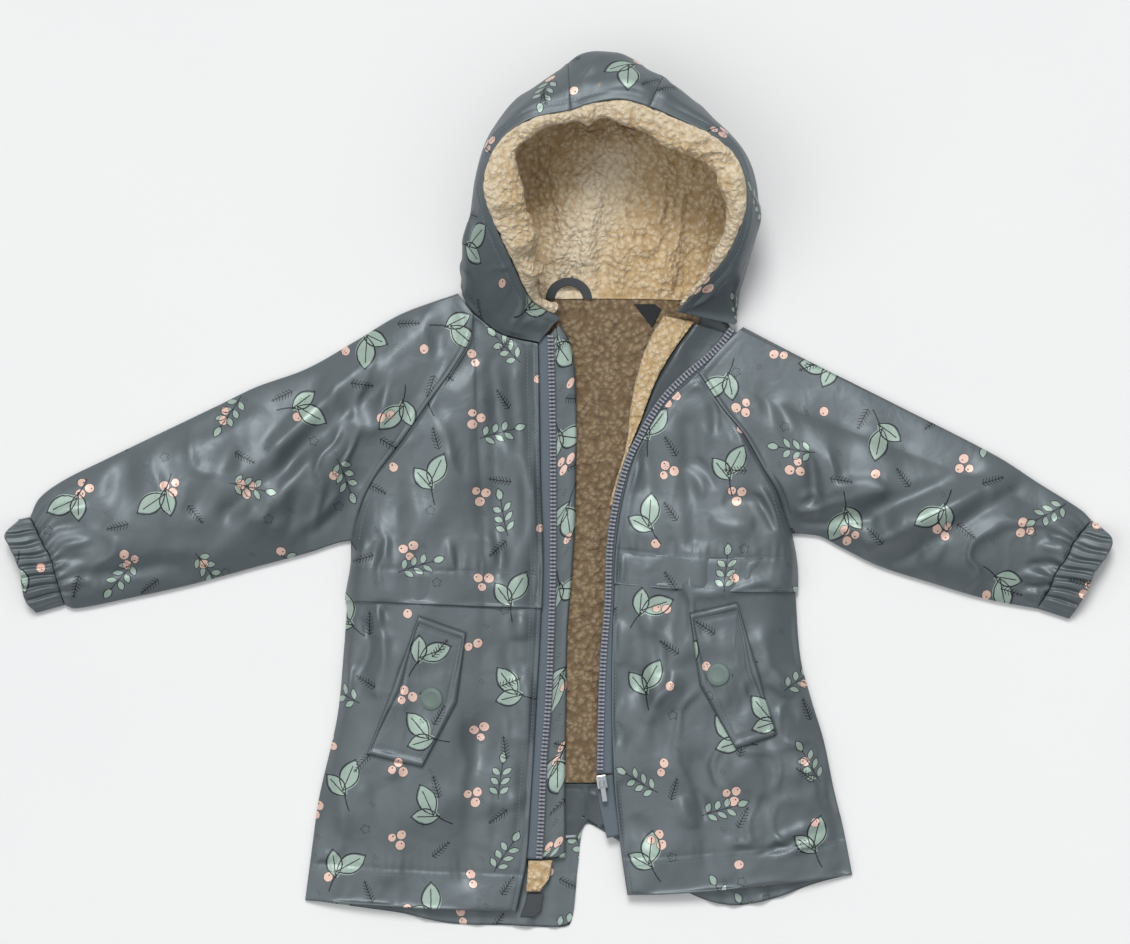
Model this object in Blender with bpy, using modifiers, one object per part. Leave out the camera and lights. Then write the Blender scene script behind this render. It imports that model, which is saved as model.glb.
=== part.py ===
"""A child's hooded parka, laid on its back with its zip undone and its arms spread.

Coated cloth outside, a thick pile lining in the hood and behind the opening. The back lies on
the surface, the two fronts lie over it, the sleeves are flattened tubes and the hood is an open
bowl that lies on its back. Tables are in millimetres; x runs across, y towards the hood, z up.
"""
import math
from collections import namedtuple

import bmesh
import bpy
from mathutils import Matrix, Vector

MM = 0.001
UP = Vector((0, 0, 1))
ORIGIN = Vector((-0.98, -2.67, 0))      # middle of the parka's box in the tables below

# ---------------------------------------------------------------- driving sizes (mm)
CLOTH = 2.0             # coated cloth with its backing
PILE = 4.2              # pile lining, its base cloth and the pressed nap
GAP = 0.5               # between a piece and the one it lies on
BACK_INSET = 3.4        # the back's side edges stay this far inside the fronts' and sleeves'
SLEEVE_INSET = 0.0028   # share of the sleeve's length kept clear of the raglan seam
BACK_CLOTH = 1.6        # back panel, pressed on the surface
FLAP_GAP = 0.9          # the flap stands a little off the front
FLAP_CLOTH = 3.0        # pocket flap, two layers and their turnings
TAPE = 1.0              # zip tape
TAPE_HIDDEN = 8.0       # how far the tape runs on under the front's edge
BEAD_WIDTH = 5.6        # number 5 zip teeth
BEAD_HEIGHT = 2.7
SNAP_RADIUS = 10.0
SNAP_HEIGHT = 2.6
LOOP_WIDTH = 6.0        # hanger loop tape
LOOP_CLOTH = 1.4
CUFF_GATHERS = 9        # on the upper side of each cuff
CUFF_GATHER_HEIGHT = 2.0
CUFF_INSET = 0.021      # share of the cuff's length kept clear of the sleeve's end
WRIST_INSET = 0.0013    # the same at the sleeve's end
SLEEVE_EDGE = 4.6       # height of a sleeve's rolled outer edge
YOKE_LIFT = CLOTH + GAP + 0.3   # how far the yoke's hem lies above the front
RAGLAN_INSET = 0.004    # share of a front's length kept clear of the raglan seam

Fold = namedtuple("Fold", "x0 y0 x1 y1 width height")
FOLDS = (
    Fold(-31, 118, -33, -140, 11, 2.4),     # ridge along the left opening
    Fold(-56, 112, -53, -70, 10, -3.2),     # trough beside it
    Fold(-150, -112, -158, -170, 8, 2.4),   # left front, under the yoke
    Fold(-70, -210, -82, -330, 13, -2.6),   # left front, to the hem
    Fold(-175, -240, -150, -330, 12, 2.2),
    Fold(112, 56, 116, -40, 11, -3.0),      # right chest
    Fold(78, -112, 80, -190, 10, 2.2),      # right front, beside the zip
    Fold(176, -128, 204, -240, 13, 2.6),
    Fold(120, -235, 128, -335, 13, -2.4),
    Fold(222, -262, 243, -315, 9, 1.8),
    Fold(-168, 112, -242, 40, 10, 3.2),     # left sleeve, from the shoulder
    Fold(-158, 88, -285, -18, 11, -3.4),
    Fold(-262, -22, -232, -36, 10, 2.0),
    Fold(-405, -72, -335, -62, 10, -2.6),
    Fold(-330, 30, -262, 62, 13, 2.0),
    Fold(388, 16, 266, -50, 11, 3.6),       # right sleeve, towards the underarm
    Fold(392, 0, 290, -62, 8, -2.6),
    Fold(210, -18, 276, 2, 7, 2.6),         # right underarm
    Fold(214, -27, 268, -24, 6, -2.2),
    Fold(230, 70, 300, 44, 14, -2.0),
)

# ---------------------------------------------------------------- outlines (x, y, z of the outer face)
LEFT_NECK = ((-17.5, 127.5, 17), (-39, 132, 18.5), (-53, 137, 19), (-66, 147, 18.5), (-74, 153, 18))
LEFT_RAGLAN = ((-74, 153, 18), (-77, 131, 20), (-93, 104, 22), (-111, 79, 23), (-137, 42, 22),
               (-161, 9, 18), (-174, -20, 11), (-178, -42, 4.4))
LEFT_SIDE = ((-178, -42, 4.4), (-178, -64, 3.8), (-183, -94, 3.8), (-186, -133, 3.8),
             (-192, -194, 3.8), (-208, -265, 3.8), (-213, -300, 3.8), (-220, -353, 3.8))
LEFT_OPENING = ((-17.5, 127.5, 17), (-16, 36, 17), (-14, -59, 17), (-16, -128, 16.5),
                (-19, -179, 16), (-24, -265, 15), (-28, -317, 14), (-37, -363, 11.5))
LEFT_HEM = ((-37, -363, 11.5), (-43, -362, 11.6), (-102, -360, 12.2), (-172, -356, 8.6),
            (-220, -353, 3.8))

RIGHT_NECK = ((119, 103, 17.6), (120, 102, 17.6))
RIGHT_RAGLAN = ((120, 102, 17.6), (140, 72, 20.5), (158, 50, 21.5), (177, 17, 20), (187, 0, 17),
                (194, -21, 11), (198, -36, 4.4))
RIGHT_SIDE = ((198, -36, 4.4), (203, -64, 3.8), (204, -92, 3.8), (208, -143, 3.8), (217, -178, 3.8),
              (228, -214, 3.8), (237, -257, 3.8), (245, -290, 3.8), (253, -331, 3.8))
RIGHT_OPENING = ((119, 103, 17.6), (98, 83, 17.6), (84, 66, 17.6), (65, 32, 17.6), (56, 2, 17.4),
                 (49, -40, 17), (46, -92, 17), (44, -168, 16.5), (46, -245, 15.5), (52, -306, 14),
                 (58, -348, 12))
RIGHT_HEM = ((58, -348, 12), (94, -347, 12.6), (146, -343, 12.2), (201, -337, 9), (253, -331, 3.8))

LEFT_YOKE_EDGE = ((-15, -101), (-96, -98), (-183, -94))
RIGHT_YOKE_EDGE = ((46, -80), (128, -86), (204, -87))
YOKE_OVERLAP = 30.0     # the yoke's hem, below the seam that holds it

SLEEVE_LEFT_UPPER = ((-457, -22), (-449, -6), (-429, 9), (-393, 27), (-341, 52), (-293, 75),
                     (-262, 90), (-218, 106), (-174, 131), (-137, 153), (-87.5, 171))
SLEEVE_LEFT_LOWER = ((-427, -98), (-418, -101), (-376, -93), (-321, -81), (-262, -65), (-218, -53),
                     (-191, -44), (-178.6, -42))
SLEEVE_LEFT_WRIST = ((-457, -22), (-444, -47), (-438, -57), (-434, -72), (-427, -98))
SLEEVE_LEFT_NECK = ((-87.5, 171, 8), (-81, 162, 14), (-74, 153, 18))
SLEEVE_RIGHT_UPPER = ((459, -25), (450, -16), (412, 8), (378, 30), (292, 74), (208, 116),
                      (158, 142))
SLEEVE_RIGHT_LOWER = ((412, -101), (369, -93), (318, -78), (275, -64), (241, -47), (226, -39),
                      (210, -36.5), (198.6, -36))
SLEEVE_RIGHT_WRIST = ((459, -25), (442, -45), (437, -56), (427, -70), (422, -84), (412, -101))
SLEEVE_RIGHT_NECK = ((158, 142, 8), (141, 126, 13), (120, 102, 17.6))
WRIST_CREST = 21.0
ARM_CREST = 31.0

CUFF_LEFT_END = ((-466, -24), (-478, -37), (-474, -47), (-469, -57), (-464, -71), (-463, -82),
                 (-460, -95), (-452, -105))
CUFF_RIGHT_END = ((464, -28), (476, -41), (472, -54), (461, -69), (456, -81), (448, -97), (440, -110))
CUFF_CREST = 22.0

BACK_TOP = ((-72, 153), (-62, 162), (-30, 163), (30, 163), (90, 163), (122, 159.6), (138, 152),
            (147, 143))
BACK_HEM = ((-219, -351), (-139, -362), (-97, -371), (-40, -373), (-2, -374.5), (9, -371),
            (16, -320), (22, -286), (40, -293), (82, -322), (112, -345), (149, -356), (184, -351),
            (221, -338), (252, -330))
BACK_ROWS = (0, .05, .1, .16, .22, .28, .34, .385, .42, .55, .7, .86, .91, .955, 1)
Tuck = namedtuple("Tuck", "x width height")
TAIL_TUCKS = (Tuck(-118, 12, 3.0), Tuck(-72, 9, 2.4), Tuck(-30, 8, 3.4), Tuck(-4, 6, 2.6),
              Tuck(133, 7, 3.2), Tuck(152, 6, 2.4), Tuck(172, 7, 3.0), Tuck(196, 8, 2.4))
LINING_TOP = ((-58, 163.7), (0, 163.2), (60, 163.2), (106, 162.8), (124, 159))
LINING_BOTTOM = ((-186, -251), (0, -251), (214, -251))
LINING_LEFT_EDGE = ((-58, 163.7), (-64, 120), (-92, 80), (-118, 40), (-146, -6), (-160, -44),
                    (-164, -120), (-172, -190), (-186, -251))
LINING_RIGHT_EDGE = ((124, 159), (108, 96), (128, 60), (158, 20), (176, -12), (182, -44), (186, -120),
                     (198, -190), (214, -251))

# Hood, from the left front corner over the crown to the right front corner. Each row is one line
# of the cloth, from the face edge down the outside and under the head to the neck seam.
HoodLine = namedtuple("HoodLine", "face shoulder belly heel sole neck lip")
HOOD = (
    HoodLine((1, 149.5, 19), (-3, 145.5, 19), (-7, 141.5, 19), (-10, 137.5, 18.8), (-14, 133.5, 18.2),
             (-17.5, 128.6, 17.4), 5),
    HoodLine((-21, 161, 30), (-24, 156, 29.5), (-28, 151, 28),
             (-32, 146, 26), (-36, 141, 23.4), (-39.3, 132.9, 18.7), 9),
    HoodLine((-31, 175, 45), (-36, 169, 43), (-42, 162, 39),
             (-48, 154, 33), (-53, 147, 27), (-53.6, 138, 19.2), 14),
    HoodLine((-39, 192, 60), (-47, 186, 57), (-57, 178, 50),
             (-66, 169, 40), (-72, 162, 29), (-73.8, 154.4, 18.4), 22),
    HoodLine((-49, 213, 74), (-59, 206, 69), (-71, 197, 57),
             (-81, 187, 40), (-84, 178, 24), (-84, 170, 12), 28),
    HoodLine((-59, 235, 84), (-68, 228, 76), (-80, 215, 56),
             (-84, 200, 30), (-79, 186, 9), (-78, 168, 2), 31),
    HoodLine((-65, 256, 90), (-71, 252, 80), (-77, 240, 54),
             (-76, 224, 20), (-64, 200, 0.6), (-60, 164.6, 0), 32),
    HoodLine((-63, 275, 93), (-68, 275, 82), (-72, 267, 54),
             (-68, 250, 16), (-50, 220, 0), (-42, 164, 0), 28),
    HoodLine((-50, 299, 95), (-56, 304, 84), (-60, 303, 54),
             (-54, 286, 15), (-34, 245, 0), (-24, 164, 0), 17),
    HoodLine((-24, 316, 96), (-31, 328, 86), (-36, 335, 56),
             (-32, 318, 15), (-16, 262, 0), (-6, 164, 0), 12),
    HoodLine((9, 323, 97), (8, 345, 88), (7, 366, 58), (8, 348, 15), (9, 275, 0), (12, 164, 0), 12),
    HoodLine((28, 329, 98), (28, 351, 89), (28, 371, 58),
             (28, 353, 15), (28, 280, 0), (28, 164, 0), 15),
    HoodLine((52, 332, 98), (54, 352, 89), (57, 368, 58),
             (54, 350, 15), (50, 280, 0), (44, 164, 0), 20),
    HoodLine((76, 326, 97), (84, 344, 88), (89, 354, 58),
             (84, 336, 15), (70, 272, 0), (60, 164, 0), 23),
    HoodLine((102, 315, 96), (113, 327, 87), (120, 328, 57),
             (112, 310, 15), (88, 258, 0), (76, 164, 0), 25),
    HoodLine((128, 303, 96), (139, 309, 86), (148, 302, 55),
             (136, 286, 15), (104, 240, 0), (92, 164, 0), 26),
    HoodLine((145, 290, 95), (155, 291, 84), (163, 281, 54),
             (151, 265, 15), (118, 222, 0), (106, 163.6, 0), 25),
    HoodLine((155, 274, 94), (163, 270, 82), (170, 259, 52),
             (159, 243, 15), (130, 205, 0), (118, 162.6, 0), 22),
    HoodLine((159, 256, 92), (165, 250, 80), (171, 239, 50),
             (162, 222, 14), (140, 192, 0), (128, 160, 0), 18),
    HoodLine((158, 236, 86), (164, 229, 74), (169, 218, 46),
             (162, 202, 14), (149, 182, 0.4), (138, 156, 0), 14),
    HoodLine((150, 214, 76), (157, 207, 66), (163, 199, 42),
             (161, 186, 17), (153, 173, 3), (147.5, 152.6, 1), 10),
    HoodLine((138, 194, 62), (146, 188, 54), (153, 181, 40),
             (156, 173, 22), (155, 163, 10), (152, 151, 5), 8),
    HoodLine((118, 172, 42), (128, 169, 37), (138, 165, 29),
             (145, 160, 21), (150, 154, 14), (153, 147, 9), 6),
    HoodLine((101, 154, 25), (111, 152, 22), (121, 150, 19),
             (131, 148, 16), (141, 146, 13), (151, 143.5, 10), 5),
)
HOOD_CORE = Vector((42, 235, 50))
LEFT_CROWN_SEAM = 10 / (len(HOOD) - 1)
RIGHT_CROWN_SEAM = 13 / (len(HOOD) - 1)

# Facings and lining strips: left and right edges, each (x, y, z of the upper face)
FACING_LEFT_IN = ((-22, 122), (-22, 36), (-20, -59), (-22, -128), (-26, -190), (-31, -270), (-33, -316))
FACING_LEFT_OUT = ((0, 145, 12.6), (9, 128, 12.2), (14, 95, 11.6), (14, 1, 11), (12, -55, 10.6),
                   (7, -117, 9.6), (6, -180, 9), (5, -245, 8.7), (5, -316, 8.3))
CHAIN_LEFT = ((-8, 135), (-7, 92), (-6, 37), (-6, -66), (-8, -133), (-10, -181), (-14, -232),
              (-16, -282), (-18, -317))
CHAIN_RIGHT = ((149, 140), (140, 128), (127, 115), (109, 100), (93, 84), (80, 66), (70, 48), (60, 28),
               (52, 3), (46, -26), (43, -55), (42, -92), (38, -143), (36, -194), (35, -243))
TAPE_RIGHT_TAIL = ((35, -243), (38, -270), (44, -298))
FACING_RIGHT_OUT = ((146, 137), (127, 112), (109, 97), (93, 80), (70, 44), (58, 15), (53, -6))
FACING_RIGHT_IN = ((117, 145, 12.6), (97, 118, 13.6), (84, 95, 14), (70, 59, 13.2), (60, 34, 12.8),
                   (52, 8, 12.6), (49, -4, 12.6))
STRIP_RIGHT_IN = ((90, 151, 14), (80, 136, 13.6), (70, 112, 13), (62, 80, 12.6), (57, 39, 12.6),
                  (46, 1, 12.6), (43, -12, 12.6))
STRIP_RIGHT_OUT = ((115.6, 146, 13), (96, 118.6, 13.8), (83, 95.6, 14), (69, 59.4, 13.2),
                   (59, 34.2, 12.8), (51, 8.2, 12.6), (46, -11, 12.6))

FLAP_LEFT = ((-121, -106), (-80, -121), (-88, -181), (-118, -237), (-166, -226), (-144, -170))
FLAP_RIGHT = ((111, -104), (153, -95), (170, -152), (186, -210), (151, -221), (120, -166))
SNAP_LEFT = (-110, -178)
SNAP_RIGHT = (136, -157)

HEM_FACING = ((-24, -252), (56, -252), (62, -288), (36, -290.4), (24, -283.5), (14, -300), (-20, -300))
LABEL = ((64, 161.5), (82, 161.5), (88, 157), (80, 141), (70, 154))
LOOP_CENTRE = (8, 166)
LOOP_RADIUS = 16.0      # middle of the tape
ZIP_PATCH = ((-27, -318), (-6, -318), (-9, -334), (-17, -345), (-29, -345))
ZIP_PATCH_HEIGHT = 11.0
HEM_TAB = ((-27, -346.5), (-14, -347), (-16, -362), (-22, -367), (-34, -367))
HEM_TAB_HEIGHT = 6.7

# Slider and its pull tab, along the right tape
SLIDER_AT = (36.4, -250)
SLIDER_TURN = math.radians(9)
SLIDER_SIZE = (9.0, 12.0, 4.4)
BRIDGE_WIDTH = 1.6      # the arch that holds the pull
BRIDGE_LENGTH = 7.6
BRIDGE_THICK = 1.2
BRIDGE_CLEAR = 2.3      # height of the way under the arch
PULL_PIN = 1.3          # thickness of the pull and of its cross pin
PULL_LENGTH = 17.0
PULL_WIDTH = 4.8
PULL_WINDOW = (2.6, 4.4)


# ---------------------------------------------------------------- curves and patches
def smooth(rows, by_length=True):
    """A smooth curve through the rows, as a function of 0 to 1."""
    points = [Vector(row).to_3d() for row in rows]
    marks = [0.0]
    for first, second in zip(points, points[1:]):
        marks.append(marks[-1] + ((second - first).length if by_length else 1.0))
    slopes = []
    for i in range(len(points)):
        before, after = max(i - 1, 0), min(i + 1, len(points) - 1)
        slopes.append((points[after] - points[before]) / (marks[after] - marks[before]))

    def at(t):
        reach = min(max(t, 0.0), 1.0) * marks[-1]
        i = max(k for k in range(len(points) - 1) if marks[k] <= reach)
        span = marks[i + 1] - marks[i]
        s = (reach - marks[i]) / span
        return (points[i] * (2 * s ** 3 - 3 * s ** 2 + 1) + points[i + 1] * (3 * s ** 2 - 2 * s ** 3)
                + slopes[i] * span * (s ** 3 - 2 * s ** 2 + s) + slopes[i + 1] * span * (s ** 3 - s ** 2))

    return at


def joined(first, second, share):
    """Two curves end to end; the first takes this share of 0 to 1."""
    return lambda t: first(t / share) if t < share else second((t - share) / (1 - share))


def patch(top, bottom, left, right):
    """A four-sided sheet between its edges; u runs along top and bottom, v from top to bottom."""
    def at(u, v):
        corners = ((top(0) * (1 - u) + top(1) * u) * (1 - v) + (bottom(0) * (1 - u) + bottom(1) * u) * v)
        return top(u) * (1 - v) + bottom(u) * v + left(v) * (1 - u) + right(v) * u - corners

    return at


def ease(t):
    t = min(max(t, 0.0), 1.0)
    return t * t * (3 - 2 * t)


def relief(x, y):
    """Height of the large folds at a place."""
    total = 0.0
    for fold in FOLDS:
        start = Vector((fold.x0, fold.y0))
        run = Vector((fold.x1, fold.y1)) - start
        away = Vector((x, y)) - start
        along = away.dot(run) / run.length_squared
        nearest = away - run * min(max(along, 0.0), 1.0)
        total += fold.height * math.exp(-nearest.length_squared / (2 * (0.6 * fold.width) ** 2))
    return total


def normal_of(surface, u, v, step=0.004):
    """Unit normal of a surface, with +z up on the panels."""
    across = surface(min(u + step, 1), v) - surface(max(u - step, 0), v)
    down = surface(u, min(v + step, 1)) - surface(u, max(v - step, 0))
    return across.cross(down).normalized()


def spaced(count, start=0.0, end=1.0):
    return [start + (end - start) * i / count for i in range(count + 1)]


# ---------------------------------------------------------------- making objects
def colour(hex_code):
    values = [int(hex_code[i:i + 2], 16) / 255 for i in (0, 2, 4)]
    return tuple(v / 12.92 if v <= 0.04045 else ((v + 0.055) / 1.055) ** 2.4 for v in values) + (1.0,)


def material(name, hex_code, roughness, metallic=0.0):
    made = bpy.data.materials.new(name)
    made.use_nodes = True
    shader = made.node_tree.nodes["Principled BSDF"]
    shader.inputs["Base Color"].default_value = colour(hex_code)
    shader.inputs["Roughness"].default_value = roughness
    shader.inputs["Metallic"].default_value = metallic
    return made


LOOKS = {
    "cloth": ("69737a", 0.42, 0.0),
    "facing": ("4f585c", 0.4, 0.0),
    "pile": ("c9b08a", 0.95, 0.0),
    "tape": ("5c5f66", 0.8, 0.0),
    "snap": ("6b7f78", 0.5, 0.0),
    "label": ("2c2f33", 0.8, 0.0),
    "metal": ("b9bcc0", 0.35, 0.9),
}


def keep(name, mesh, look):
    """Put a mesh in the parka's collection, with a material of its own."""
    mesh.name = name
    made = bpy.data.objects.new(name, mesh)
    made.location = -ORIGIN * MM
    parka.objects.link(made)
    mesh.materials.append(material(name + "_" + look, *LOOKS[look]))
    mesh.shade_smooth()
    mesh.set_sharp_from_angle(angle=math.radians(50))
    return made


def turn_out(mesh, core, inward=False):
    """Make the faces look up or, where a core is given, away from it or towards it."""
    made = bmesh.new()
    made.from_mesh(mesh)
    made.normal_update()
    views = (face.calc_area() * face.normal.dot(UP if core is None else face.calc_center_median() - core)
             for face in made.faces)
    if (sum(views) < 0) != inward:
        bmesh.ops.reverse_faces(made, faces=made.faces)
    made.to_mesh(mesh)
    made.free()


def sheet(name, rows, look, thickness, closed=False, core=None, inward=False):
    """A wall of cloth: its seen face goes through the rows of points, its thickness lies behind."""
    points = [point * MM for row in rows for point in row]
    width = len(rows[0])
    around = width if closed else width - 1
    faces = []
    for i in range(len(rows) - 1):
        for j in range(around):
            k = (j + 1) % width
            faces.append((i * width + j, (i + 1) * width + j, (i + 1) * width + k, i * width + k))
    mesh = bpy.data.meshes.new(name)
    mesh.from_pydata(points, [], faces)
    turn_out(mesh, core * MM if core else None, inward)
    made = keep(name, mesh, look)
    wall = made.modifiers.new("wall", "SOLIDIFY")
    wall.thickness = thickness * MM
    wall.offset = -1.0
    return made


def plate(name, outline, height, thickness, look):
    """A flat piece cut to an outline; height is a number or a function of x and y."""
    flat = bmesh.new()
    level = height if callable(height) else (lambda x, y: height)
    corners = [flat.verts.new(Vector((x, y, level(x, y))) * MM) for x, y in outline]
    face = flat.faces.new(corners)
    face.normal_update()
    if face.normal.z < 0:
        face.normal_flip()
    mesh = bpy.data.meshes.new(name)
    flat.to_mesh(mesh)
    flat.free()
    made = keep(name, mesh, look)
    wall = made.modifiers.new("wall", "SOLIDIFY")
    wall.thickness = thickness * MM
    wall.offset = -1.0
    return made


def swept(name, stations, look):
    """A closed bar through sections of equal point counts."""
    made_mesh = bmesh.new()
    rings = [[made_mesh.verts.new(point * MM) for point in station] for station in stations]
    count = len(rings[0])
    for first, second in zip(rings, rings[1:]):
        for j in range(count):
            k = (j + 1) % count
            made_mesh.faces.new((first[j], first[k], second[k], second[j]))
    made_mesh.faces.new(list(reversed(rings[0])))
    made_mesh.faces.new(rings[-1])
    bmesh.ops.recalc_face_normals(made_mesh, faces=made_mesh.faces)
    mesh = bpy.data.meshes.new(name)
    made_mesh.to_mesh(mesh)
    made_mesh.free()
    return keep(name, mesh, look)


# ---------------------------------------------------------------- fronts and yokes
def front_surface(neck, raglan, side, opening, hem, neck_share):
    """Outer face of one whole front; u from the opening to the side, v from neck to hem."""
    top = joined(smooth(neck), smooth(raglan), neck_share)
    edges = patch(top, smooth(hem), smooth(opening), smooth(side))

    def at(u, v):
        point = edges(u, v)
        across = u ** 0.9 * (1 - u ** 5)
        down = 1 - (1 - min(v / 0.3, 1)) ** 2 - 0.62 * ease((v - 0.62) / 0.38)
        inside = min(1, 12 * u * (1 - u)) * min(1, 10 * v) * min(1, 14 * (1 - v))
        point.z += 17.0 * across * down + relief(point.x, point.y) * inside
        return point

    return at


def place_on(surface, x, y):
    """The u and v of a place on a front."""
    u, v, step = 0.5, 0.6, 1e-3
    for _ in range(30):
        here = surface(u, v)
        by_u = (surface(u + step, v) - here) / step
        by_v = (surface(u, v + step) - here) / step
        dx, dy = x - here.x, y - here.y
        size = by_u.x * by_v.y - by_v.x * by_u.y
        u = min(max(u + (dx * by_v.y - dy * by_v.x) / size, 0.0), 0.998)
        v = min(max(v + (dy * by_u.x - dx * by_u.y) / size, 0.0), 0.998)
    return u, v


def lifted(surface, u, v, distance, sign=1.0):
    """A point of a surface, moved out along its normal."""
    return surface(u, v) + normal_of(surface, u, v) * (distance * sign)


def edge_rows(surface, edge, columns):
    """For each column the v at which the surface crosses a line across it."""
    line = smooth(edge)
    crossings = []
    for u in columns:
        low, high = 0.0, 1.0
        for _ in range(30):
            middle = (low + high) / 2
            point = surface(u, middle)
            share = min(max((point.x - edge[0][0]) / (edge[-1][0] - edge[0][0]), 0), 1)
            low, high = (middle, high) if point.y > line(share).y else (low, middle)
        crossings.append((low + high) / 2)
    return crossings


FRONT_COLUMNS = (.002, .05, .12, .2, .3, .4, .5, .6, .7, .8, .88, .94, .998)
FRONT_ROWS = (0, .05, .1, .14, .18, .24, .31, .38, .46, .54, .62, .7, .78, .86, .93, 1)


def make_front(side, surface, edge, up):
    """The lower front, and the yoke whose free hem lies on it; up is 1 or -1 for the surface's normal."""
    seam_line = [(x, y + YOKE_OVERLAP) for x, y in edge]
    yoke_ends = edge_rows(surface, edge, FRONT_COLUMNS)
    seams = edge_rows(surface, seam_line, FRONT_COLUMNS)

    def yoke_point(u, v, seam):
        return lifted(surface, u, v, YOKE_LIFT * ease(1.5 - (seam - v) / 0.1), up)

    insets = [RAGLAN_INSET * (0.4 + 0.6 * ease(u / 0.4)) for u in FRONT_COLUMNS]
    yoke = [[yoke_point(u, inset + (end - inset) * t, seam)
             for u, inset, end, seam in zip(FRONT_COLUMNS, insets, yoke_ends, seams)] for t in spaced(10)]
    lower = [[surface(u, seam + (1 - seam) * t) for u, seam in zip(FRONT_COLUMNS, seams)]
             for t in FRONT_ROWS]
    sheet("yoke_" + side, yoke, "cloth", CLOTH)
    sheet("front_" + side, lower, "cloth", CLOTH)


# ---------------------------------------------------------------- sleeves and cuffs
# Around a flattened tube: share of the width on the upper side, then on the side that rests.
UPPER_SHARES = (0, .03, .08, .16, .27, .39, .51, .63, .74, .84, .92, .97, 1)
RESTING_SHARES = ((.985, .3), (.95, 0), (.72, 0), (.5, 0), (.28, 0), (.05, 0), (.015, .3))


def middle_of(rows):
    """Middle of a tube; near enough to its axis, because the tube is flat and nearly straight."""
    points = [point for row in rows for point in row]
    return sum(points, Vector()) / len(points)


def dome(share):
    return (1 - abs(2 * share - 1) ** 2.2) ** 0.9


def tube_rows(plan, top_height, edge_height, lengths, upper=UPPER_SHARES):
    """Rings of a flattened tube whose plan is a patch of (length, width)."""
    rows = []
    for length in lengths:
        ring = []
        for share in upper:
            point = plan(length, share)
            ring.append(Vector((point.x, point.y, top_height(length, share, point))))
        for share, height in RESTING_SHARES:
            point = plan(length, share)
            ring.append(Vector((point.x, point.y, edge_height * height)))
        rows.append(ring)
    return rows


def make_sleeve(side, upper, lower, wrist, neck, raglan):
    armhole = joined(smooth(neck), smooth(raglan), 0.12)
    plan = patch(smooth(upper), smooth(lower), smooth(wrist), armhole)

    def height(length, share, point):
        crest = WRIST_CREST + (ARM_CREST - WRIST_CREST) * ease(length / 0.35)
        rise = SLEEVE_EDGE + (crest - SLEEVE_EDGE) * dome(share)
        rise += relief(point.x, point.y) * min(1, 8 * share * (1 - share))
        seam = max(armhole(share).z, SLEEVE_EDGE) if 0 < share < 1 else SLEEVE_EDGE
        return rise + (seam - rise) * ease((length - 0.72) / 0.28)

    rows = tube_rows(plan, height, SLEEVE_EDGE, spaced(14, WRIST_INSET, 1 - SLEEVE_INSET))
    sheet("sleeve_" + side, rows, "cloth", CLOTH, closed=True, core=middle_of(rows))


def make_cuff(side, wrist, end):
    """A gathered band from the sleeve's end to the wrist opening."""
    start, finish = smooth(wrist), smooth(end)
    upper, lower = smooth((wrist[0], end[0])), smooth((wrist[-1], end[-1]))
    plan = patch(upper, lower, start, finish)

    def height(length, share, _point):
        gathers = math.sin(2 * math.pi * CUFF_GATHERS * (share + 0.018 * math.sin(7 * share + 2 * length)))
        fade = min(1, 9 * share * (1 - share)) * (0.55 + 0.45 * math.sin(math.pi * min(length, 1)))
        crest = WRIST_CREST + (CUFF_CREST - WRIST_CREST) * length
        return SLEEVE_EDGE + (crest - SLEEVE_EDGE) * dome(share) + CUFF_GATHER_HEIGHT * gathers * fade

    lengths = spaced(4, CUFF_INSET, 1)
    rows = tube_rows(plan, height, SLEEVE_EDGE, lengths, upper=spaced(4 * CUFF_GATHERS))
    sheet("cuff_" + side, rows, "cloth", CLOTH, closed=True, core=middle_of(rows))


# ---------------------------------------------------------------- hood
HOOD_LINES = [smooth([getattr(row, part) for row in HOOD], by_length=False)
              for part in HoodLine._fields[:-1]]
LIP = smooth([(row.lip, 0, 0) for row in HOOD], by_length=False)


def hood_surface(along, down):
    """Outer face of the hood; along runs over the head, down from the face edge to the neck."""
    point = smooth([line(along) for line in HOOD_LINES], by_length=False)(down)
    point.z = max(point.z, 0.0)
    return point


def hood_inside(along, down, distance):
    """A point of the hood's cloth moved into the bowl."""
    return hood_surface(along, down) - normal_of(hood_surface, along, down, 0.01) * distance


HoodPanel = namedtuple("HoodPanel", "name start end lines")
CROWN_INSET = 0.0014
HOOD_PANELS = (HoodPanel("hood_left", 0.0, LEFT_CROWN_SEAM - CROWN_INSET, 15),
               HoodPanel("hood_center", LEFT_CROWN_SEAM + CROWN_INSET, RIGHT_CROWN_SEAM - CROWN_INSET, 5),
               HoodPanel("hood_right", RIGHT_CROWN_SEAM + CROWN_INSET, 1.0, 15))
HOOD_DOWN = (0, .1, .2, .28, .36, .43, .5, .57, .64, .7, .76, .86, 1)


def make_hood():
    for panel in HOOD_PANELS:
        lines = spaced(panel.lines, panel.start, panel.end)
        rows = [[hood_surface(along, down) for down in HOOD_DOWN] for along in lines]
        sheet(panel.name, rows, "cloth", CLOTH, core=HOOD_CORE)


# The lining's roll over the face edge: share of the lip's width, mm beyond it, mm down
LipRow = namedtuple("LipRow", "share beyond down")
LIP_ROWS = (LipRow(0, 3.2, -0.4), LipRow(0.5, 1.5, -1.2), LipRow(0.86, 1.0, 0.6), LipRow(1, 1.6, 5.5),
            LipRow(0.93, 0.6, 10.6), LipRow(0.6, 0, 13.4))
LINING_START, LINING_END = 0.03, 0.985      # share of the face edge that the lining follows
NECK_SLACK = 1.3        # extra room beside the left shoulder, where the cloth turns under


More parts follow.
